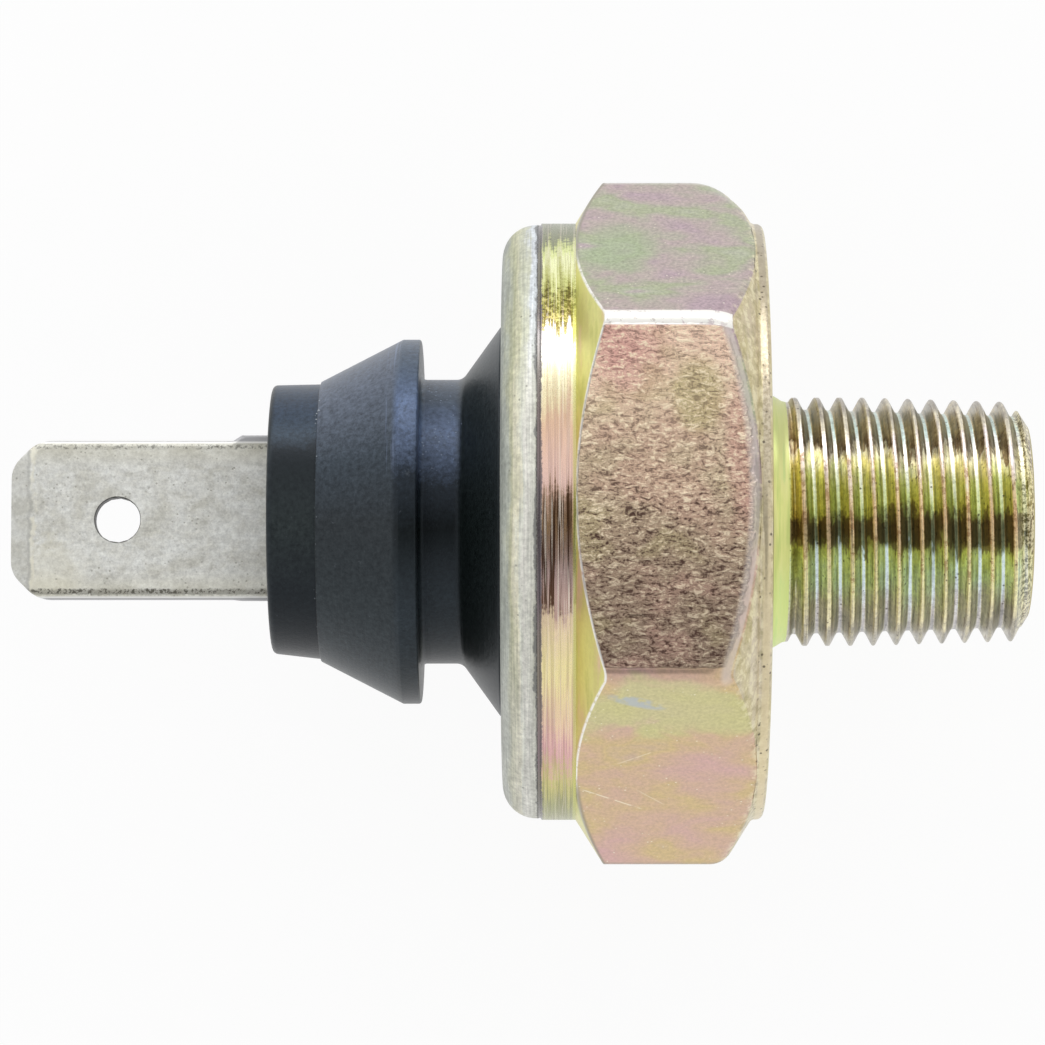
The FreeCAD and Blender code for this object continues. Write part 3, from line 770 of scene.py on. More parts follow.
@dataclass(frozen=True)
class TinFinish:
    """Tinned blade: pale warm grey with fine pits, drawn lines and specks along its edges, a painted
    highlight on its bevels and painted shade in its hole.
    """

    flat_half: float
    tip_line_x: float
    hole_x: float
    hole_r: float
    lift: float

    def material(self) -> bpy.types.Material:
        """Mottled grain and pits, straw stains by the edges, a dotted line where the flat ends, a painted
        highlight on the bevels and painted shade in the hole.
        """
        g = Surface("tinned_blade")
        blotch = g.noise(g.stretched((0.8, 1.0, 1.0)), 1.1, 4.0, 0.65, 0.3)
        drawn = g.noise(g.stretched((0.6, 5.0, 5.0)), 1.0, 3.0, 0.6)
        grain = g.noise(g.place, 6.0, 4.0, 0.75)
        colour = g.ramp(blotch, [
            (0.36, 204, 203, 194), (0.50, 218, 218, 212), (0.64, 228, 229, 225),
        ])
        colour.grain(grain, 0.55)
        colour.grain(drawn, 0.14)
        dull = g.noise(g.place, 1.7, 3.0, 0.7).rise(0.54, 0.68) * g.noise(g.place, 7.0, 2.0).rise(0.40, 0.60)
        colour.lay(dull * 0.28, 150, 148, 140)
        side = g.y - self.lift
        edge = side.size() + (blotch - 0.5) * 1.6
        stain = edge.rise(self.flat_half - 0.9, self.flat_half - 0.2)
        stain = stain + g.spot(self.tip_line_x + 0.8, g.y + (blotch - 0.5) * 2.0, -1.9, 1.6, 1.4)
        stain = stain * (g.x + (blotch - 0.5) * 0.5).rise(self.tip_line_x - 0.20, self.tip_line_x)
        colour.lay(stain * 0.26, 220, 214, 186)
        bent = (g.x + (blotch - 0.5) * 0.4).rise(self.tip_line_x, self.tip_line_x - 0.15)
        colour.lay(bent * 0.30, 174, 174, 168)
        pits = g.dots(4.2, 0.24, 0.08, 1.2, 0.46, 0.60)
        colour.lay(pits * 0.55, 132, 128, 116)
        spots = g.noise(g.place, 6.0, 3.0, 0.8).rise(0.46, 0.60)
        dotted = side.size() + (grain - 0.5) * 0.25 + side.rise(0.0, -1.0) * 0.06
        dotted = g.within(dotted, self.flat_half - 0.06, self.flat_half + 0.05, 0.10)
        below = side.rise(0.0, -1.0)
        colour.lay(dotted * (spots * 0.7 + below * 0.45), 92, 90, 80)
        # Painted highlight along the edge bevels.
        bevel = side.size().rise(self.flat_half + 0.08, self.flat_half + 0.14)
        colour.lay(bevel * 0.8, 250, 250, 248)
        brink = side.size().rise(self.flat_half + 0.16, self.flat_half + 0.20)
        colour.lay(brink * 0.75, 150, 150, 156)
        ridge = g.within(g.x + (blotch - 0.5) * 0.6, self.tip_line_x - 0.02, self.tip_line_x + 0.05, 0.12)
        ridge = ridge * g.noise(g.place, 0.8, 3.0, 0.6).rise(0.40, 0.50)
        colour.lay(ridge * 0.5, 238, 234, 214)
        groove = g.within(g.x + (blotch - 0.5) * 0.6, self.tip_line_x - 0.16, self.tip_line_x - 0.10, 0.08)
        colour.lay(groove * 0.3, 140, 140, 136)
        # Painted shade inside the hole: its wall near black.
        along = g.x - self.hole_x
        wall = (along * along + side * side).root().rise(self.hole_r + 0.04, self.hole_r + 0.01)
        colour.lay(wall * 0.95, 30, 28, 24)
        normal = g.bump(grain * 0.6 + drawn * 0.4, 0.010)
        normal = g.bump(1.0 - pits, 0.012, normal)
        return g.finish(colour, 0.40 + grain * 0.12, 0.22, normal)


@dataclass(frozen=True)
class InnerFinish:
    """Finish of one of the hidden CAD pieces: its colour, gloss and grain."""

    name: str
    dark: tuple[int, int, int]
    light: tuple[int, int, int]
    roughness: float
    metal: float
    grain_scale: float
    grain_depth: float

    def material(self) -> bpy.types.Material:
        """Cloudy colour between the dark and the light tone, under a fine grain."""
        g = Surface(self.name)
        cloud = g.noise(g.place, 0.9, 3.0, 0.6)
        grain = g.noise(g.place, self.grain_scale, 3.0, 0.6)
        colour = g.ramp(cloud, [(0.35, *self.dark), (0.65, *self.light)])
        return g.finish(colour, self.roughness + grain * 0.1, self.metal, g.bump(grain, self.grain_depth))


# Meshes


def rounded(corners: np.ndarray, radii: np.ndarray, arc_steps: int = 6, runs: int = 1,
            hem: float = 0.0, most: float = 0.48) -> np.ndarray:
    """Polylines with their inner corners rounded, many at once.

    At each corner the arc leaves the incoming run at the tangent length, radius times the tangent
    of half the turn, and its points are start + ahead r sin(a) + inward r (1 - cos(a)), with a
    from nothing to the turn. A radius too large for its runs is made smaller.

    Args:
        corners: lines by corners by coordinates, two or three of them.
        radii: lines by corners; the first and last of a line are not used.
        arc_steps: pieces in each arc.
        runs: pieces in each straight run.
        hem: distance from each end of a run to one more point, or 0 for none.
        most: the largest share of a run that one rounding may take.

    Returns:
        Lines by points by coordinates.
    """
    ahead = np.diff(corners, axis=1)
    length = np.linalg.norm(ahead, axis=2)
    ahead = ahead / np.maximum(length, 1e-12)[..., None]
    before, after = ahead[:, :-1], ahead[:, 1:]
    cosine = np.clip((before * after).sum(2), -1.0, 1.0)
    turn = np.arccos(cosine)
    inward = after - cosine[..., None] * before
    inward = inward / np.maximum(np.linalg.norm(inward, axis=2), 1e-12)[..., None]
    room = most * np.minimum(length[:, :-1], length[:, 1:])
    half = np.tan(turn / 2)
    size = np.minimum(radii[:, 1:-1], room / np.maximum(half, 1e-9))
    start = corners[:, 1:-1] - before * (size * half)[..., None]
    pieces = [corners[:, :1]]
    for i in range(corners.shape[1] - 2):
        angle = turn[:, i, None] * np.linspace(0.0, 1.0, arc_steps + 1)
        along = before[:, i, None] * np.sin(angle)[..., None]
        inside = inward[:, i, None] * (1.0 - np.cos(angle))[..., None]
        arc = start[:, i, None] + (along + inside) * size[:, i, None, None]
        pieces += [straight(pieces[-1][:, -1], arc[:, 0], runs, hem), arc]
    pieces += [straight(pieces[-1][:, -1], corners[:, -1], runs, hem), corners[:, -1:]]
    return np.concatenate(pieces, axis=1)


def straight(start: np.ndarray, stop: np.ndarray, runs: int, hem: float) -> np.ndarray:
    """Points between two ends, without the ends: evenly spaced, and one a hem from each end."""
    gap = np.linalg.norm(stop - start, axis=1)
    inset = np.minimum(hem, 0.2 * gap) / np.maximum(gap, 1e-12)
    if hem > 0.0:
        even = np.linspace(0.0, 1.0, runs + 1)
        share = inset[:, None] + (1.0 - 2.0 * inset[:, None]) * even
    else:
        share = np.broadcast_to(np.linspace(0.0, 1.0, runs + 1)[1:-1], (len(gap), runs - 1))
    return start[:, None] + (stop - start)[:, None] * share[..., None]


def turned(profile: np.ndarray, angles: np.ndarray) -> np.ndarray:
    """Grid swept round the X axis: point (x, r cos a, r sin a) for each profile point and angle.

    Args:
        profile: angles by points by (x, r), or one line of points by (x, r) for every angle.
        angles: turn of each column from +Y towards +Z.

    Returns:
        Points by angles by 3.
    """
    if profile.ndim == 2:
        profile = np.broadcast_to(profile, (len(angles),) + profile.shape)
    x = profile[..., 0].T
    r = profile[..., 1].T
    return np.stack([x, r * np.cos(angles), r * np.sin(angles)], axis=2)


def lathed(corners: list[tuple[float, float, float]], angles: np.ndarray, arc_steps: int, runs: int,
           hem: float = 0.0, most: float = 0.48) -> np.ndarray:
    """Grid of an outline of (x, radius, rounding) with its corners rounded, swept round the X axis."""
    line = np.array([corners])
    return turned(rounded(line[..., :2], line[..., 2], arc_steps, runs, hem, most)[0], angles)


def placed(name: str, data: bpy.types.ID) -> bpy.types.Object:
    """New object of that data, linked to the scene."""
    made = bpy.data.objects.new(name, data)
    bpy.context.scene.collection.objects.link(made)
    return made


class Shell:
    """One piece gathered from grids of points that share their edges."""

    def __init__(self, name: str, body: Body, slot: Slot) -> None:
        """Start an empty piece that rides on a body and keeps a slot."""
        self.name = name
        self.body = body
        self.slot = slot
        self.points: list[np.ndarray] = []
        self.faces: list[np.ndarray] = []
        self.looks: list[np.ndarray] = []
        self.marks: list[dict[str, np.ndarray]] = []
        self.materials: list[bpy.types.Material] = []

    def add(self, grid: np.ndarray, material: bpy.types.Material, turn_over: bool = False,
            marks: dict[str, np.ndarray] | None = None) -> None:
        """Add a grid of rows by columns by 3, in millimetres, as four-sided faces.

        Args:
            grid: the points.
            material: what the grid wears.
            turn_over: whether its faces look the other way.
            marks: numbers for the finish to read, by name, each rows by columns.
        """
        rows, columns = grid.shape[:2]
        self.marks.append({name: value.reshape(-1) for name, value in (marks or {}).items()})
        first = sum(len(block) for block in self.points)
        index = first + np.arange(rows * columns).reshape(rows, columns)
        quads = np.stack([index[:-1, :-1], index[1:, :-1], index[1:, 1:], index[:-1, 1:]], axis=2)
        quads = quads.reshape(-1, 4)
        if turn_over:
            quads = quads[:, ::-1]
        if material not in self.materials:
            self.materials.append(material)
        self.points.append(grid.reshape(-1, 3))
        self.faces.append(quads)
        self.looks.append(np.full(len(quads), self.materials.index(material), np.int32))

    def build(self, sharp_degrees: float = 38.0) -> bpy.types.Object:
        """Weld the grids where they meet and make the object.

        Args:
            sharp_degrees: edges that turn more than this stay crisp.

        Returns:
            The new object, riding on its body.
        """
        points = np.concatenate(self.points)
        faces = np.concatenate(self.faces)
        looks = np.concatenate(self.looks)
        near = np.round(points, WELD_DIGITS)
        _, keep, where = np.unique(near, axis=0, return_index=True, return_inverse=True)
        points = points[keep] * MM
        faces = where.reshape(-1)[faces]
        same = faces == np.roll(faces, -1, axis=1)
        across = (faces[:, 0] == faces[:, 2]) | (faces[:, 1] == faces[:, 3])
        whole = (same.sum(1) == 0) & ~across
        cut = (same.sum(1) == 1) & ~across
        shift = np.argmax(same[cut], axis=1)
        turnable = faces[cut][np.arange(cut.sum())[:, None], (shift[:, None] + 1 + np.arange(3)) % 4]
        corners = np.concatenate([faces[whole].reshape(-1), turnable.reshape(-1)])
        totals = np.concatenate([np.full(whole.sum(), 4), np.full(cut.sum(), 3)])
        starts = np.concatenate([[0], np.cumsum(totals)[:-1]])
        mesh = bpy.data.meshes.new(self.name)
        mesh.vertices.add(len(points))
        mesh.vertices.foreach_set("co", points.reshape(-1))
        mesh.loops.add(len(corners))
        mesh.loops.foreach_set("vertex_index", corners.astype(np.int32))
        mesh.polygons.add(len(totals))
        mesh.polygons.foreach_set("loop_start", starts.astype(np.int32))
        mesh.polygons.foreach_set("loop_total", totals.astype(np.int32))
        for material in self.materials:
            mesh.materials.append(material)
        mesh.polygons.foreach_set("material_index", np.concatenate([looks[whole], looks[cut]]))
        mesh.update(calc_edges=True)
        for mark in sorted({name for block in self.marks for name in block}):
            values = [block.get(mark, np.zeros(len(grid))) for block, grid in zip(self.marks, self.points)]
            layer = mesh.attributes.new(mark, "FLOAT", "POINT")
            layer.data.foreach_set("value", np.concatenate(values)[keep].astype(np.float32))
        mesh.shade_smooth()
        mesh.set_sharp_from_angle(angle=math.radians(sharp_degrees))
        piece = placed(self.name, mesh)
        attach(piece, self.body.value)
        edges = np.sort(np.stack([corners, self.following(corners, starts, totals)], axis=1), axis=1)
        _, uses = np.unique(edges, axis=0, return_counts=True)
        triangles = int((totals - 2).sum())
        LOG.info("%s: %d triangles, %d open edges", self.name, triangles, int((uses != 2).sum()))
        return piece

    @staticmethod
    def following(corners: np.ndarray, starts: np.ndarray, totals: np.ndarray) -> np.ndarray:
        """The next corner of the same face after each corner."""
        after = np.arange(len(corners)) + 1
        after[starts + totals - 1] = starts
        return corners[after]


# Sub-assemblies


@dataclass
class HexBody:
    """Steel body: hexagon, turned ring, rolled rim, threaded spigot, cup and port."""

    across_flats: float = 23.65
    corner_rounding: float = 0.6
    collar_r: float = 11.795
    collar_len: float = 0.45
    front_slope: float = 58.0
    back_foot_x: float = -7.3775
    back_slope: float = 58.0
    collar_blend: float = 0.25
    flat_blend: float = 0.45
    back_blend: float = 0.09
    corner_blends: tuple[float, float, float] = (0.5, 1.3, 1.75)
    blend_from_r: float = 12.4
    beside_cosine: float = 0.7
    ring_r: float = 11.81
    ring_len: float = 1.37
    rim_step: float = 0.06
    groove_depth: float = 0.01
    groove_len: float = 0.09
    rim_len: float = 1.5
    rim_rounding: float = 1.5
    rim_wall: float = 0.95
    rim_bore_r: float = 7.75
    cup_r: float = 10.49
    chamber_r: float = 8.54
    shoulder_x: float = -5.4975
    chamber_floor_x: float = -4.0975
    port_r: float = 1.6
    port_mouth: float = 0.3
    neck_r: float = 5.04
    neck_end_r: float = 4.76
    spigot_len: float = 10.5
    thread_r: float = 4.864
    gauge_x: float = 6.5
    pitch: float = 0.907
    first_crest_x: float = 1.246
    lead_in: float = 0.36
    thread_depth: float = 0.58
    taper_on_r: float = 1.0 / 32.0
    flank_degrees: float = 27.5
    crest_half: float = 0.10
    crest_softness: float = 0.012
    run_in: float = 0.30
    mark_run_in: float = 0.35
    blank_r: float = 4.925
    end_r: float = 3.80
    end_slope: float = 1.567
    end_land: float = 0.06

    def columns(self) -> np.ndarray:
        """Angles of the columns: close together at the corners, with both ends of the turn."""
        near = np.array([0, .35, .7, 1.05, 1.4, 1.8, 2.4, 3.4])
        half = np.concatenate([near, np.arange(5.0, 29.0, 2.0), [28.5]])
        sector = np.concatenate([half, [30.0], 60.0 - half[:0:-1]])
        turns = np.concatenate([sector + 60.0 * k for k in range(6)] + [[360.0]])
        return turns / 360.0

    def hexagon_r(self, turns: np.ndarray) -> np.ndarray:
        """Radius of the hexagon at each turn, with its six corners rounded.

        Beside a corner the outline is the flat, half the width over the cosine of the angle from
        the flat's middle. Near the corner it is the far side of a small circle on the corner's ray.
        """
        flat_r = self.across_flats / 2
        off_middle = np.abs((turns * 360.0) % 60.0 - 30.0)
        flat = flat_r / np.cos(np.radians(off_middle))
        middle = (flat_r - self.corner_rounding) / math.cos(math.radians(30.0))
        off_corner = np.radians(30.0 - off_middle)
        inside = self.corner_rounding ** 2 - (middle * np.sin(off_corner)) ** 2
        circle = middle * np.cos(off_corner) + np.sqrt(np.maximum(inside, 0.0))
        near = off_corner < math.radians(30.0) - math.atan2(middle / 2, flat_r)
        return np.where(near, circle, flat)

    def outside(self, turns: np.ndarray) -> tuple[np.ndarray, dict[str, np.ndarray]]:
        """Grid of the end face, collar, front cone, hexagon and back chamfer.

        Each column's profile is cut where the front cone and the back chamfer meet the hexagon's
        radius at that turn, and its corners are rounded, most of all in front at the six corners.

        Returns:
            The grid, and how far each point lies inside the front edge, back edge and corners.
        """
        reach = self.hexagon_r(turns)
        front = -self.collar_len - (reach - self.collar_r) / math.tan(math.radians(self.front_slope))
        back = self.back_foot_x + (reach - self.ring_r) / math.tan(math.radians(self.back_slope))
        one = np.ones_like(reach)
        xs = np.stack([0.0 * one, 0.0 * one, -self.collar_len * one, front, back, self.back_foot_x * one], 1)
        rs = np.stack([self.neck_r * one, self.collar_r * one, self.collar_r * one, reach, reach,
                       self.ring_r * one], 1)
        corners = np.stack([xs, rs], axis=2)
        tip = np.clip(reach - self.blend_from_r, 0.0, 1.0)
        high = np.cos(turns * 2.0 * math.pi)
        below, beside, above = self.corner_blends
        sides = [high < -self.beside_cosine, high > self.beside_cosine]
        corner_blend = np.select(sides, [below, above], beside)
        front_blend = self.flat_blend + corner_blend * tip
        collar_blend = self.collar_blend * one
        radii = np.stack([one, collar_blend, collar_blend, front_blend, self.back_blend * one, one], axis=1)
        profile = rounded(corners, radii, arc_steps=7, runs=7, hem=0.03, most=0.8)
        grid = turned(profile, turns * 2.0 * math.pi)
        x = profile[..., 0].T
        off_middle = np.radians(np.abs((turns * 360.0) % 60.0 - 30.0))
        half_flat = (self.across_flats / 2 - self.corner_rounding) * math.tan(math.radians(30.0))
        side_gap = half_flat - self.across_flats / 2 * np.tan(off_middle)
        side_gap = np.where((x < front) & (x > back), side_gap, 1.0)
        return grid, {"front_gap": front - x, "back_gap": x - back, "side_gap": side_gap}

    def thread_grid(self, turns: np.ndarray) -> tuple[np.ndarray, dict[str, np.ndarray]]:
        """Helical thread from neck to end, with rows that follow the ridge.

        Row k at turn t stands at first crest + pitch (k + t), held between the two ends, so rows
        run along crest and valley and close on themselves a row lower after one turn. The radius
        is the crest's taper less a clipped 55 degree flank, cut by the blank and the end chamfer.

        Returns:
            The grid, and the cosine and sine of each point's place in its lap.
        """
        self.start_x = self.first_crest_x - self.lead_in * self.pitch
        self.stop_x = self.spigot_len - self.end_land
        self.stop_r = self.end_r + self.end_land * self.end_slope
        steps = np.array([0, .04, .08, .13, .19, .26, .33, .39, .45, .55, .61, .67, .74, .81, .87, .92, .96])
        laps = int((self.spigot_len - self.first_crest_x) / self.pitch) + 2
        whole = np.repeat(np.arange(-2, laps), len(steps))
        part = np.tile(steps, laps + 2)
        turn = whole[:, None] + turns[None, :] + part[:, None]
        x = np.clip(self.first_crest_x + self.pitch * turn, self.start_x, self.stop_x)
        away = np.abs(part - np.round(part))[:, None] * self.pitch + 0.0 * turn
        crest = self.thread_r + (self.gauge_x - x) * self.taper_on_r
        flank = (away / math.tan(math.radians(self.flank_degrees)) - self.crest_half) / self.thread_depth
        flank = 0.5 * (flank + np.sqrt(flank ** 2 + self.crest_softness))
        flank = 1.0 - 0.5 * ((1.0 - flank) + np.sqrt((1.0 - flank) ** 2 + self.crest_softness))
        r = np.minimum(crest - self.thread_depth * flank, self.blank_r)
        fade = np.clip((x - self.start_x) / self.run_in, 0.0, 1.0)
        r = self.neck_end_r + (r - self.neck_end_r) * fade ** 2 * (3.0 - 2.0 * fade)
        r = np.minimum(r, self.end_r + (self.spigot_len - x) * self.end_slope)
        r = np.where(x <= self.start_x, self.neck_end_r, np.where(x >= self.stop_x, self.stop_r, r))
        angles = turns * 2.0 * math.pi
        lap = 2.0 * math.pi * part[:, None] + 0.0 * turn
        started = np.clip((x - self.start_x) / self.mark_run_in, 0.0, 1.0)
        marks = {"lap_cosine": np.cos(lap) * started, "lap_sine": np.sin(lap) * started}
        return np.stack([x, r * np.cos(angles), r * np.sin(angles)], axis=2), marks

    def build(self) -> bpy.types.Object:
        """Make the body's shell and dress each stretch of it."""
        turns = self.columns()
        angles = turns * 2.0 * math.pi
        hexagon = HexagonFinish(self.across_flats / 2).material()
        step_x = self.back_foot_x - self.ring_len
        ring = RingFinish(self.ring_r, self.back_foot_x, step_x).material()
        face_x = step_x - self.rim_len
        rim = RimFinish(face_x, step_x).material()
        neck = NeckFinish().material()
        thread = ThreadFinish(self.spigot_len).material()
        inner = InnerSteelFinish().material()
        shell = Shell("hex_body_shell", Body.HOUSING, Slot.STEEL)

        blank, edges = self.outside(turns)
        shell.add(blank, hexagon, marks=edges)
        spiral, laps = self.thread_grid(turns)
        shell.add(spiral, thread, turn_over=True, marks=laps)
        shell.add(lathed([
            (self.start_x, self.neck_end_r, 0.0),
            (0.78, self.neck_end_r + 0.03, 0.5),
            (0.42, self.neck_r - 0.02, 0.5),
            (0.0, self.neck_r, 0.0),
        ], angles, arc_steps=4, runs=2), neck)

        rim_r = self.ring_r - self.rim_step
        groove_r = rim_r - self.groove_depth
        shell.add(lathed([
            (self.back_foot_x, self.ring_r, 0.0),
            (step_x + 0.03, self.ring_r, 0.03),
            (step_x, groove_r, 0.03),
            (step_x - self.groove_len, groove_r, 0.0),
        ], angles, arc_steps=3, runs=3, hem=0.03), ring)

        flange_top = face_x + self.rim_wall
        shell.add(lathed([
            (step_x - self.groove_len, groove_r, 0.0),
            (step_x - self.groove_len - 0.02, rim_r, 0.03),
            (face_x, rim_r, self.rim_rounding),
            (face_x, self.rim_bore_r, 0.18),
            (flange_top, self.rim_bore_r, 0.0),
        ], angles, arc_steps=12, runs=2, hem=0.03, most=0.95), rim)

        shell.add(lathed([
            (flange_top, self.rim_bore_r, 0.0),
            (flange_top, self.cup_r, 0.05),
            (self.shoulder_x, self.cup_r, 0.1),
            (self.shoulder_x, self.chamber_r, 0.05),
            (self.chamber_floor_x, self.chamber_r, 0.1),
            (self.chamber_floor_x, self.port_r, 0.1),
            (self.spigot_len - self.port_mouth, self.port_r, 0.05),
            (self.spigot_len, self.port_r + self.port_mouth, 0.05),
            (self.spigot_len, self.end_r, 0.04),
            (self.stop_x, self.stop_r, 0.0),
        ], angles, arc_steps=3, runs=1), inner)
        piece = shell.build()
        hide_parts("hex_body")
        return piece


@dataclass
class TerminalHead:
    """Black moulding: flare out of the rim, groove, lip, cone and boss, hollow inside."""

    flange_base_x: float = -7.0975
    flange_top_x: float = -9.2975
    rim_face_x: float = -10.3475
    stack_r: float = 10.37
    neck_r: float = 7.71
    flare_len: float = 1.5
    groove_r: float = 5.63
    groove_len: float = 1.63
    lip_r: float = 7.22
    lip_len: float = 0.71
    cone_len: float = 3.25
    cone_step: float = 0.1
    boss_root_r: float = 5.45
    boss_draft: float = 0.13
    boss_lift: float = 0.09
    boss_len: float = 1.92
    room_r: float = 6.0
    room_depth: float = 2.5
    bore_r: float = 3.5
    bore_end_x: float = -14.8475
    columns: int = 180

    def build(self) -> bpy.types.Object:
        """Turn the rounded outline, outside and inside, about the axis."""
        flare_end = self.rim_face_x - self.flare_len
        groove_end = flare_end - self.groove_len
        lip_end = groove_end - self.lip_len
        boss_root = lip_end - self.cone_len
        boss_end = boss_root - self.boss_len
        room_end = self.flange_base_x - self.room_depth
        outside = [
            (self.flange_base_x, self.stack_r, 0.0),
            (self.flange_top_x, self.stack_r, 0.1),
            (self.flange_top_x, self.neck_r, 0.1),
            (self.rim_face_x, self.neck_r, 0.06),
            (flare_end, self.groove_r, 0.45),
            (groove_end, self.groove_r, 0.22),
            (groove_end, self.lip_r, 0.10),
            (lip_end, self.lip_r, 0.16),
            (boss_root, self.boss_root_r + self.cone_step, 0.04),
            (boss_root, self.boss_root_r, 0.03),
            (boss_end, self.boss_root_r - self.boss_draft, 0.20),
            (boss_end, 0.0, 0.0),
        ]
        inside = [
            (self.bore_end_x, 0.0, 0.0),
            (self.bore_end_x, self.bore_r, 0.1),
            (room_end, self.bore_r, 0.05),
            (room_end, self.room_r, 0.1),
            (self.flange_base_x, self.room_r, 0.05),
            (self.flange_base_x, self.stack_r, 0.0),
        ]
        angles = np.linspace(0.0, 1.0, self.columns + 1) * 2.0 * math.pi
        black = MouldingFinish(boss_end, boss_root, lip_end, groove_end, flare_end).material()
        shell = Shell("terminal_head_shell", Body.HOUSING, Slot.MOULDING)
        for line in (outside, inside):
            grid = lathed(line, angles, arc_steps=6, runs=3, hem=0.03)
            if line is outside:
                share = np.clip((boss_root - grid[..., 0]) / self.boss_len, 0.0, 1.0)
                grid[..., 1] += self.boss_lift * share
            shell.add(grid, black)
        piece = shell.build()
        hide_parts("terminal_head")
        return piece


@dataclass
class SpadeTerminal:
    """Tinned blade with its wider root, shank and tenon, laid out round its hole."""

    width: float = 6.3
    thick: float = 0.8
    tip_x: float = -29.7575
    start_x: float = -20.6975
    root_end_x: float = -17.5775
    root_width: float = 6.55
    shank_width: float = 4.2
    shank_end_x: float = -14.8475
    tenon_width: float = 2.4
    tenon_end_x: float = -14.0475
    tip_corner: float = 1.05
    tip_bevel_len: float = 0.85
    tip_bevel_depth: float = 0.2
    edge_bevel_width: float = 0.22
    edge_bevel_depth: float = 0.12
    edge_break: float = 0.05
    step_front: float = 0.08
    step_back: float = 0.26
    hole_lip: float = 0.03
    hole_lip_depth: float = 0.04
    hole_x: float = -25.5175
    hole_r: float = 0.9
    lift: float = 0.05
    root_lift: float = 0.09

    def half_outline(self) -> list[tuple[float, ...]]:
        """Corners on the +Y side from tenon to tip.

        Returns:
            For each corner: x, y, drop of the outer edge, x and y of the flat's edge, rounding.
        """
        wide, low, side = self.width / 2, self.edge_bevel_depth, self.edge_bevel_width
        tenon, shank, root = self.tenon_width / 2, self.shank_width / 2, self.root_width / 2
        tip = self.tip_x
        inner_x = tip + self.tip_bevel_len
        small = self.edge_break
        held = [
            (self.tenon_end_x, 0.0, 0.0),
            (self.tenon_end_x, tenon, 0.1),
            (self.shank_end_x, tenon, 0.1),
            (self.shank_end_x, shank, 0.1),
            (self.root_end_x, shank, 0.1),
            (self.root_end_x, root, 0.1),
        ]
        corners = [(x, y, small, x - small, max(y - small, 0.0), soft) for x, y, soft in held]
        return corners + [
            (self.start_x + self.step_front, root, small, self.start_x + 0.32, root - small, 0.08),
            (self.start_x - self.step_back, wide, low, self.start_x - 0.42, wide - side, 0.08),
            (tip + self.tip_corner, wide, low, tip + self.tip_corner + 0.20, wide - side, 1.3),
            (tip, wide - self.tip_corner, self.tip_bevel_depth, inner_x, wide - side - 0.45, 1.1),
            (tip, 0.0, self.tip_bevel_depth, inner_x, 0.0, 0.0),
        ]

    def build(self) -> bpy.types.Object:
        """Sweep the rounded section from the hole over the flat and edge and back underneath.

        The outline and the flat's edge are rounded polylines with matching points; each column is
        the closed section hole, top flat, bevel, side, bevel, bottom flat, hole, rounded in turn.
        """
        half = np.array(self.half_outline())
        outer = np.stack([half[:, 0], half[:, 1], self.thick / 2 - half[:, 2]], axis=1)
        inner = np.stack([half[:, 3], half[:, 4], np.full(len(half), self.thick / 2)], axis=1)
        lines = np.stack([outer, inner])
        radii = np.stack([half[:, 5], half[:, 5] * 0.7])
        lines = rounded(lines, radii, arc_steps=5, runs=5, hem=0.05)
        mirrored = lines[:, ::-1][:, 1:] * np.array([1.0, -1.0, 1.0])
        lines = np.concatenate([lines, mirrored], axis=1)
        lines[:, -1] = lines[:, 0]
        edge, flat = lines
        bearing = np.arctan2(edge[:, 1], edge[:, 0] - self.hole_x)
        bearing[-1] = bearing[0]
        ray = np.stack([np.cos(bearing), np.sin(bearing)], axis=1)
        below = np.array([1.0, 1.0, -1.0])

        def on_hole(radius: float, height: float) -> np.ndarray:
            """Ring of points round the hole."""
            x = self.hole_x + radius * ray[:, 0]
            return np.stack([x, radius * ray[:, 1], np.full(len(ray), height)], axis=1)

        top = self.thick / 2
        wall = top - self.hole_lip_depth
        lip = self.hole_r + self.hole_lip
        middle = on_hole(self.hole_r, 0.0)
        section = np.stack([
            middle, on_hole(self.hole_r, wall), on_hole(lip, top), flat, edge,
            edge * below, flat * below, on_hole(lip, -top), on_hole(self.hole_r, -wall), middle,
        ], axis=1)
        soft = np.array([0.0, 0.02, 0.02, 0.12, 0.10, 0.10, 0.12, 0.02, 0.02, 0.0])
        grid = rounded(section, np.broadcast_to(soft, section.shape[:2]), arc_steps=4, runs=2, hem=0.04)
        step = self.step_back + self.step_front
        rooted = np.clip((grid[..., 0] - self.start_x + self.step_back) / step, 0.0, 1.0)
        grid[..., 1] += self.lift + self.root_lift * rooted
        shell = Shell("spade_terminal_shell", Body.HOUSING, Slot.TIN)
        line_x = self.tip_x + self.tip_bevel_len
        tin = TinFinish(self.width / 2 - self.edge_bevel_width, line_x, self.hole_x, self.hole_r, self.lift)
        shell.add(grid, tin.material(), turn_over=True)
        piece = shell.build()
        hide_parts("spade_terminal")
        return piece


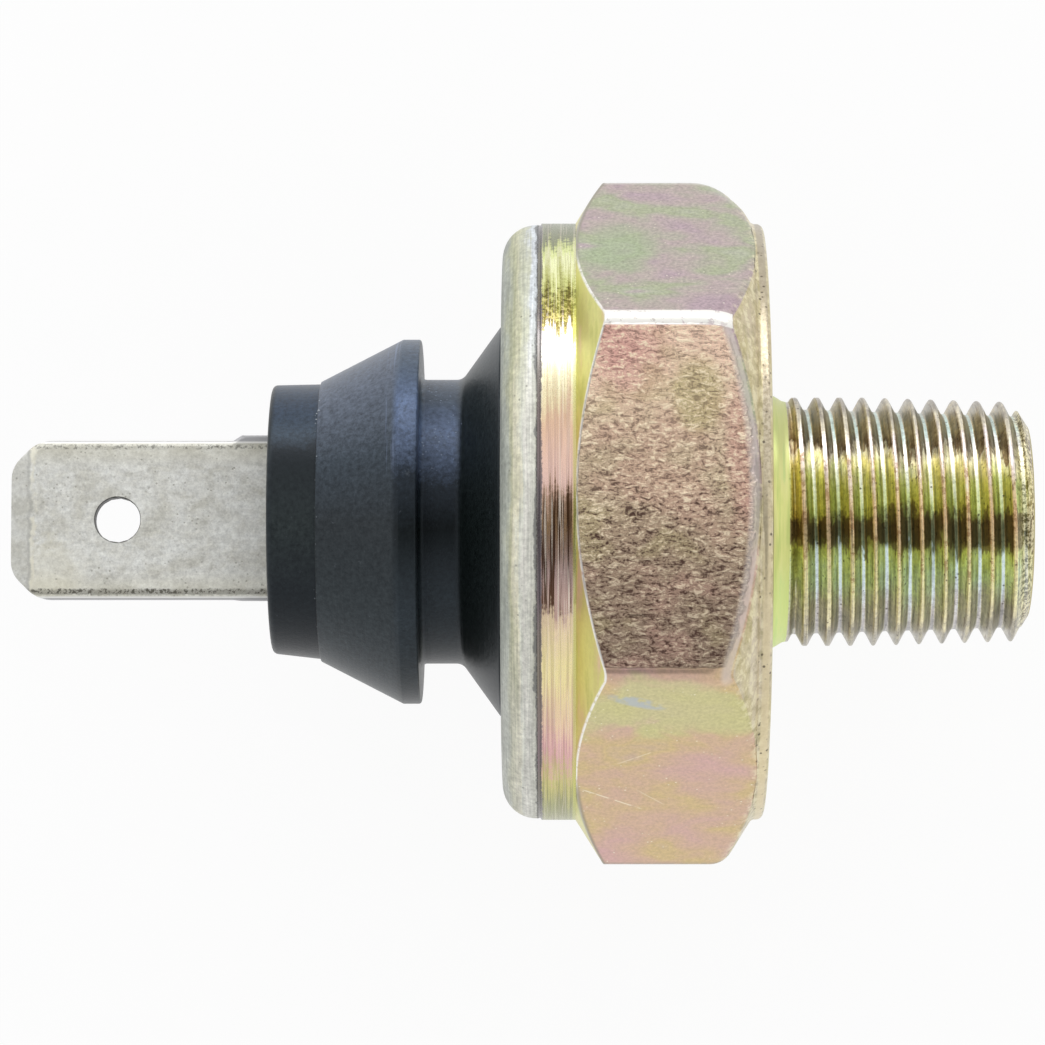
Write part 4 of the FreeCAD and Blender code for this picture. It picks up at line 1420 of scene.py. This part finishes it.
@dataclass
class ContactSpring:
    """Coil spring of round wire that presses the moving contact and shortens as it lifts."""

    mean_r: float = 2.5
    wire_r: float = 0.25
    turns: float = 4.0
    travel: float = 0.4
    steps: int = 192
    section: int = 12

    def coil(self, low_x: float, high_x: float) -> np.ndarray:
        """Grid of the wire's surface between two places along the axis.

        With a going from nothing to the whole turn, the wire's middle stands at (high - wire -
        rise times its share of the turn, R sin a, R cos a). Round each place lies a circle across
        the wire's heading, wire (outward cos b + sideways sin b), and both ends close on the
        middle.

        Args:
            low_x, high_x: where the coil's ends touch, in millimetres.

        Returns:
            Places along the wire by places round it by 3.
        """
        rise = high_x - low_x - 2.0 * self.wire_r
        whole = 2.0 * math.pi * self.turns
        a = np.linspace(0.0, whole, self.steps + 1)
        outward = np.stack([0.0 * a, np.sin(a), np.cos(a)], axis=1)
        middle = outward * self.mean_r
        middle[:, 0] = high_x - self.wire_r - rise * a / whole
        around = self.mean_r * np.stack([np.cos(a), -np.sin(a)], axis=1)
        heading = np.concatenate([np.full((len(a), 1), -rise / whole), around], axis=1)
        heading = heading / np.linalg.norm(heading, axis=1)[:, None]
        sideways = np.cross(outward, heading)
        b = np.linspace(0.0, 2.0 * math.pi, self.section + 1)[:, None]
        ring = outward[:, None] * np.cos(b) + sideways[:, None] * np.sin(b)
        tube = middle[:, None] + self.wire_r * ring
        ends = np.broadcast_to(middle[[0, -1], None], (2,) + tube.shape[1:])
        return np.concatenate([ends[:1], tube, ends[1:]])

    def build(self) -> bpy.types.Object:
        """Make the coil where its CAD node is."""
        low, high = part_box("contact_spring")
        wire = InnerFinish("spring_wire", (150, 152, 156), (198, 198, 200), 0.24, 1.0, 9.0, 0.004)
        shell = Shell("contact_spring_coil", Body.HOUSING, Slot.SPRING)
        shell.add(self.coil(low[0] / MM, high[0] / MM), wire.material())
        piece = shell.build()
        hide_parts("contact_spring")
        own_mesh(piece)
        return piece


@dataclass
class InsidePieces:
    """Hidden CAD pieces that keep their shape and get a finish each."""

    nodes: dict[str, bpy.types.Object]

    def finishes(self) -> dict[str, InnerFinish]:
        """The finish of each hidden node by its name."""
        plate = InnerFinish("earth_plate_nickel", (164, 162, 154), (204, 202, 194), 0.32, 1.0, 5.0, 0.006)
        seat = InnerFinish("seat_brass", (168, 136, 76), (200, 172, 104), 0.34, 1.0, 6.0, 0.006)
        contact = InnerFinish("contact_metal", (176, 178, 180), (214, 214, 212), 0.26, 1.0, 6.0, 0.004)
        rubber = InnerFinish("seal_rubber", (24, 24, 26), (40, 40, 42), 0.62, 0.0, 8.0, 0.012)
        gasket = InnerFinish("gasket_rubber", (28, 26, 26), (46, 44, 42), 0.66, 0.0, 8.0, 0.012)
        film = InnerFinish("film_disc", (196, 128, 52), (224, 164, 84), 0.28, 0.0, 3.0, 0.003)
        pusher = InnerFinish("insulator_pusher", (128, 80, 50), (156, 104, 68), 0.48, 0.0, 7.0, 0.006)
        return {
            "earth_plate": plate,
            "spring_seat": seat,
            "moving_contact": contact,
            "seal_ring": rubber,
            "head_gasket": gasket,
            "diaphragm": film,
            "plunger": pusher,
        }

    def dress(self) -> None:
        """Give each hidden node its material."""
        for name, finish in self.finishes().items():
            node = self.nodes[name]
            node.data.materials.clear()
            node.data.materials.append(finish.material())
            LOG.info("%s: CAD node dressed", name)


# Studio


@dataclass
class Studio:
    """White floor, pale surroundings, soft lamps and the camera at the photo's angle."""

    floor_z: float = -11.825
    eye_x: float = -7.85
    frame_x: float = -9.48
    distance: float = 195.0
    frame_width: float = 41.47
    aim_y: float = -0.03
    floor_half: float = 900.0
    horizon: float = 1.05
    zenith: float = 0.22
    dark_lean: float = 11.0
    dark_core: float = 14.0
    dark_rim: float = 22.0
    glow_share: float = 0.92

    def camera(self) -> None:
        """Camera above the part, leaning a little towards -Y."""
        data = bpy.data.cameras.new("camera")
        data.sensor_width = FILM_WIDTH
        data.lens = FILM_WIDTH * self.distance / self.frame_width
        data.clip_start = 0.001
        data.clip_end = 10.0
        eye = placed("camera", data)
        data.shift_x = (self.frame_x - self.eye_x) / self.frame_width
        aim = Vector((self.eye_x, self.aim_y, 0.0)) * MM
        away = Vector((0.0, -math.sin(LEAN), math.cos(LEAN))) * self.distance * MM
        eye.location = aim + away
        eye.rotation_euler = (-away).to_track_quat("-Z", "Y").to_euler()
        bpy.context.scene.camera = eye

    def floor(self) -> None:
        """Floor that shows white and keeps the part's shadow."""
        g = Surface("white_floor")
        paths = g.node("ShaderNodeLightPath")
        seen = Wire(g, paths.outputs["Is Camera Ray"]) + Wire(g, paths.outputs["Is Glossy Ray"])
        seen = seen + Wire(g, paths.outputs["Is Transmission Ray"])
        seen = g.sum_of("MINIMUM", seen, 1.0)
        paper = g.noise(g.place, 0.4, 3.0, 0.6)
        tone = g.ramp(paper, [(0.3, 238, 238, 238), (0.7, 243, 243, 243)])
        plain = g.node("ShaderNodeBsdfDiffuse", None, {"Color": tone})
        glow = g.node("ShaderNodeEmission", None, {"Color": (1, 1, 1, 1), "Strength": 1.0})
        ends = {0: seen * self.glow_share, 1: plain.outputs[0], 2: glow.outputs[0]}
        g.close(g.node("ShaderNodeMixShader", None, ends))
        half = self.floor_half
        corners = np.array([[-half, -half], [half, -half], [half, half], [-half, half]])
        points = np.concatenate([corners, np.full((4, 1), self.floor_z)], axis=1) * MM
        mesh = bpy.data.meshes.new("floor")
        mesh.from_pydata(points.tolist(), [], [(0, 1, 2, 3)])
        mesh.materials.append(g.owner)
        plane = placed("floor", mesh)

    def surroundings(self) -> None:
        """Pale world with one darker patch above, leaning to -Y, where the camera hangs."""
        bpy.context.scene.world = bpy.data.worlds.new("studio")
        g = Graph(bpy.context.scene.world, "ShaderNodeOutputWorld")
        lean = math.radians(self.dark_lean)
        patch = (0.0, -math.sin(lean), math.cos(lean))
        where = g.node("ShaderNodeTexCoord").outputs["Generated"]
        share = g.node("ShaderNodeVectorMath", {"operation": "DOT_PRODUCT"}, {0: where, 1: patch})
        fall = g.node("ShaderNodeMapRange", {"interpolation_type": "SMOOTHSTEP"}, {
            "Value": share.outputs["Value"],
            "From Min": math.cos(math.radians(self.dark_rim)),
            "From Max": math.cos(math.radians(self.dark_core)),
            "To Min": self.horizon,
            "To Max": self.zenith,
        })
        g.close(g.node("ShaderNodeBackground", None, {"Strength": fall.outputs[0]}))

    def lamp(self, name: str, place: tuple[float, float, float], wide: float, tall: float,
             level: float) -> None:
        """Soft rectangular lamp that looks at the part.

        Args:
            name: the lamp's name.
            place: where it stands, in millimetres.
            wide, tall: its size.
            level: how bright its face looks, where 1 is white.
        """
        data = bpy.data.lights.new(name, "AREA")
        data.shape = "RECTANGLE"
        data.size = wide * MM
        data.size_y = tall * MM
        data.energy = level * math.pi * wide * tall * MM * MM
        lamp = placed(name, data)
        lamp.location = Vector(place) * MM
        towards = Vector((self.frame_x, 0.0, 0.0)) * MM - lamp.location
        lamp.rotation_euler = towards.to_track_quat("-Z", "Y").to_euler()
        lamp.visible_camera = False

    def build(self) -> None:
        """Set the whole studio up."""
        bpy.context.scene.view_settings.view_transform = "Standard"
        self.camera()
        self.floor()
        self.surroundings()
        self.lamp("long_lamp", (self.frame_x, 300.0, 118.0), wide=560.0, tall=120.0, level=2.8)


def main() -> None:
    """Load the frame, build the pieces in order and report each of them."""
    logging.basicConfig(level=logging.INFO, format="%(name)s: %(message)s")
    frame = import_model()
    InsidePieces(frame["nodes"]).dress()
    for part in (HexBody(), TerminalHead(), SpadeTerminal(), ContactSpring()):
        piece = part.build()
        LOG.info("%s: %d materials", piece.name, len(piece.data.materials))
    Studio().build()


if __name__ == "__main__":
    main()
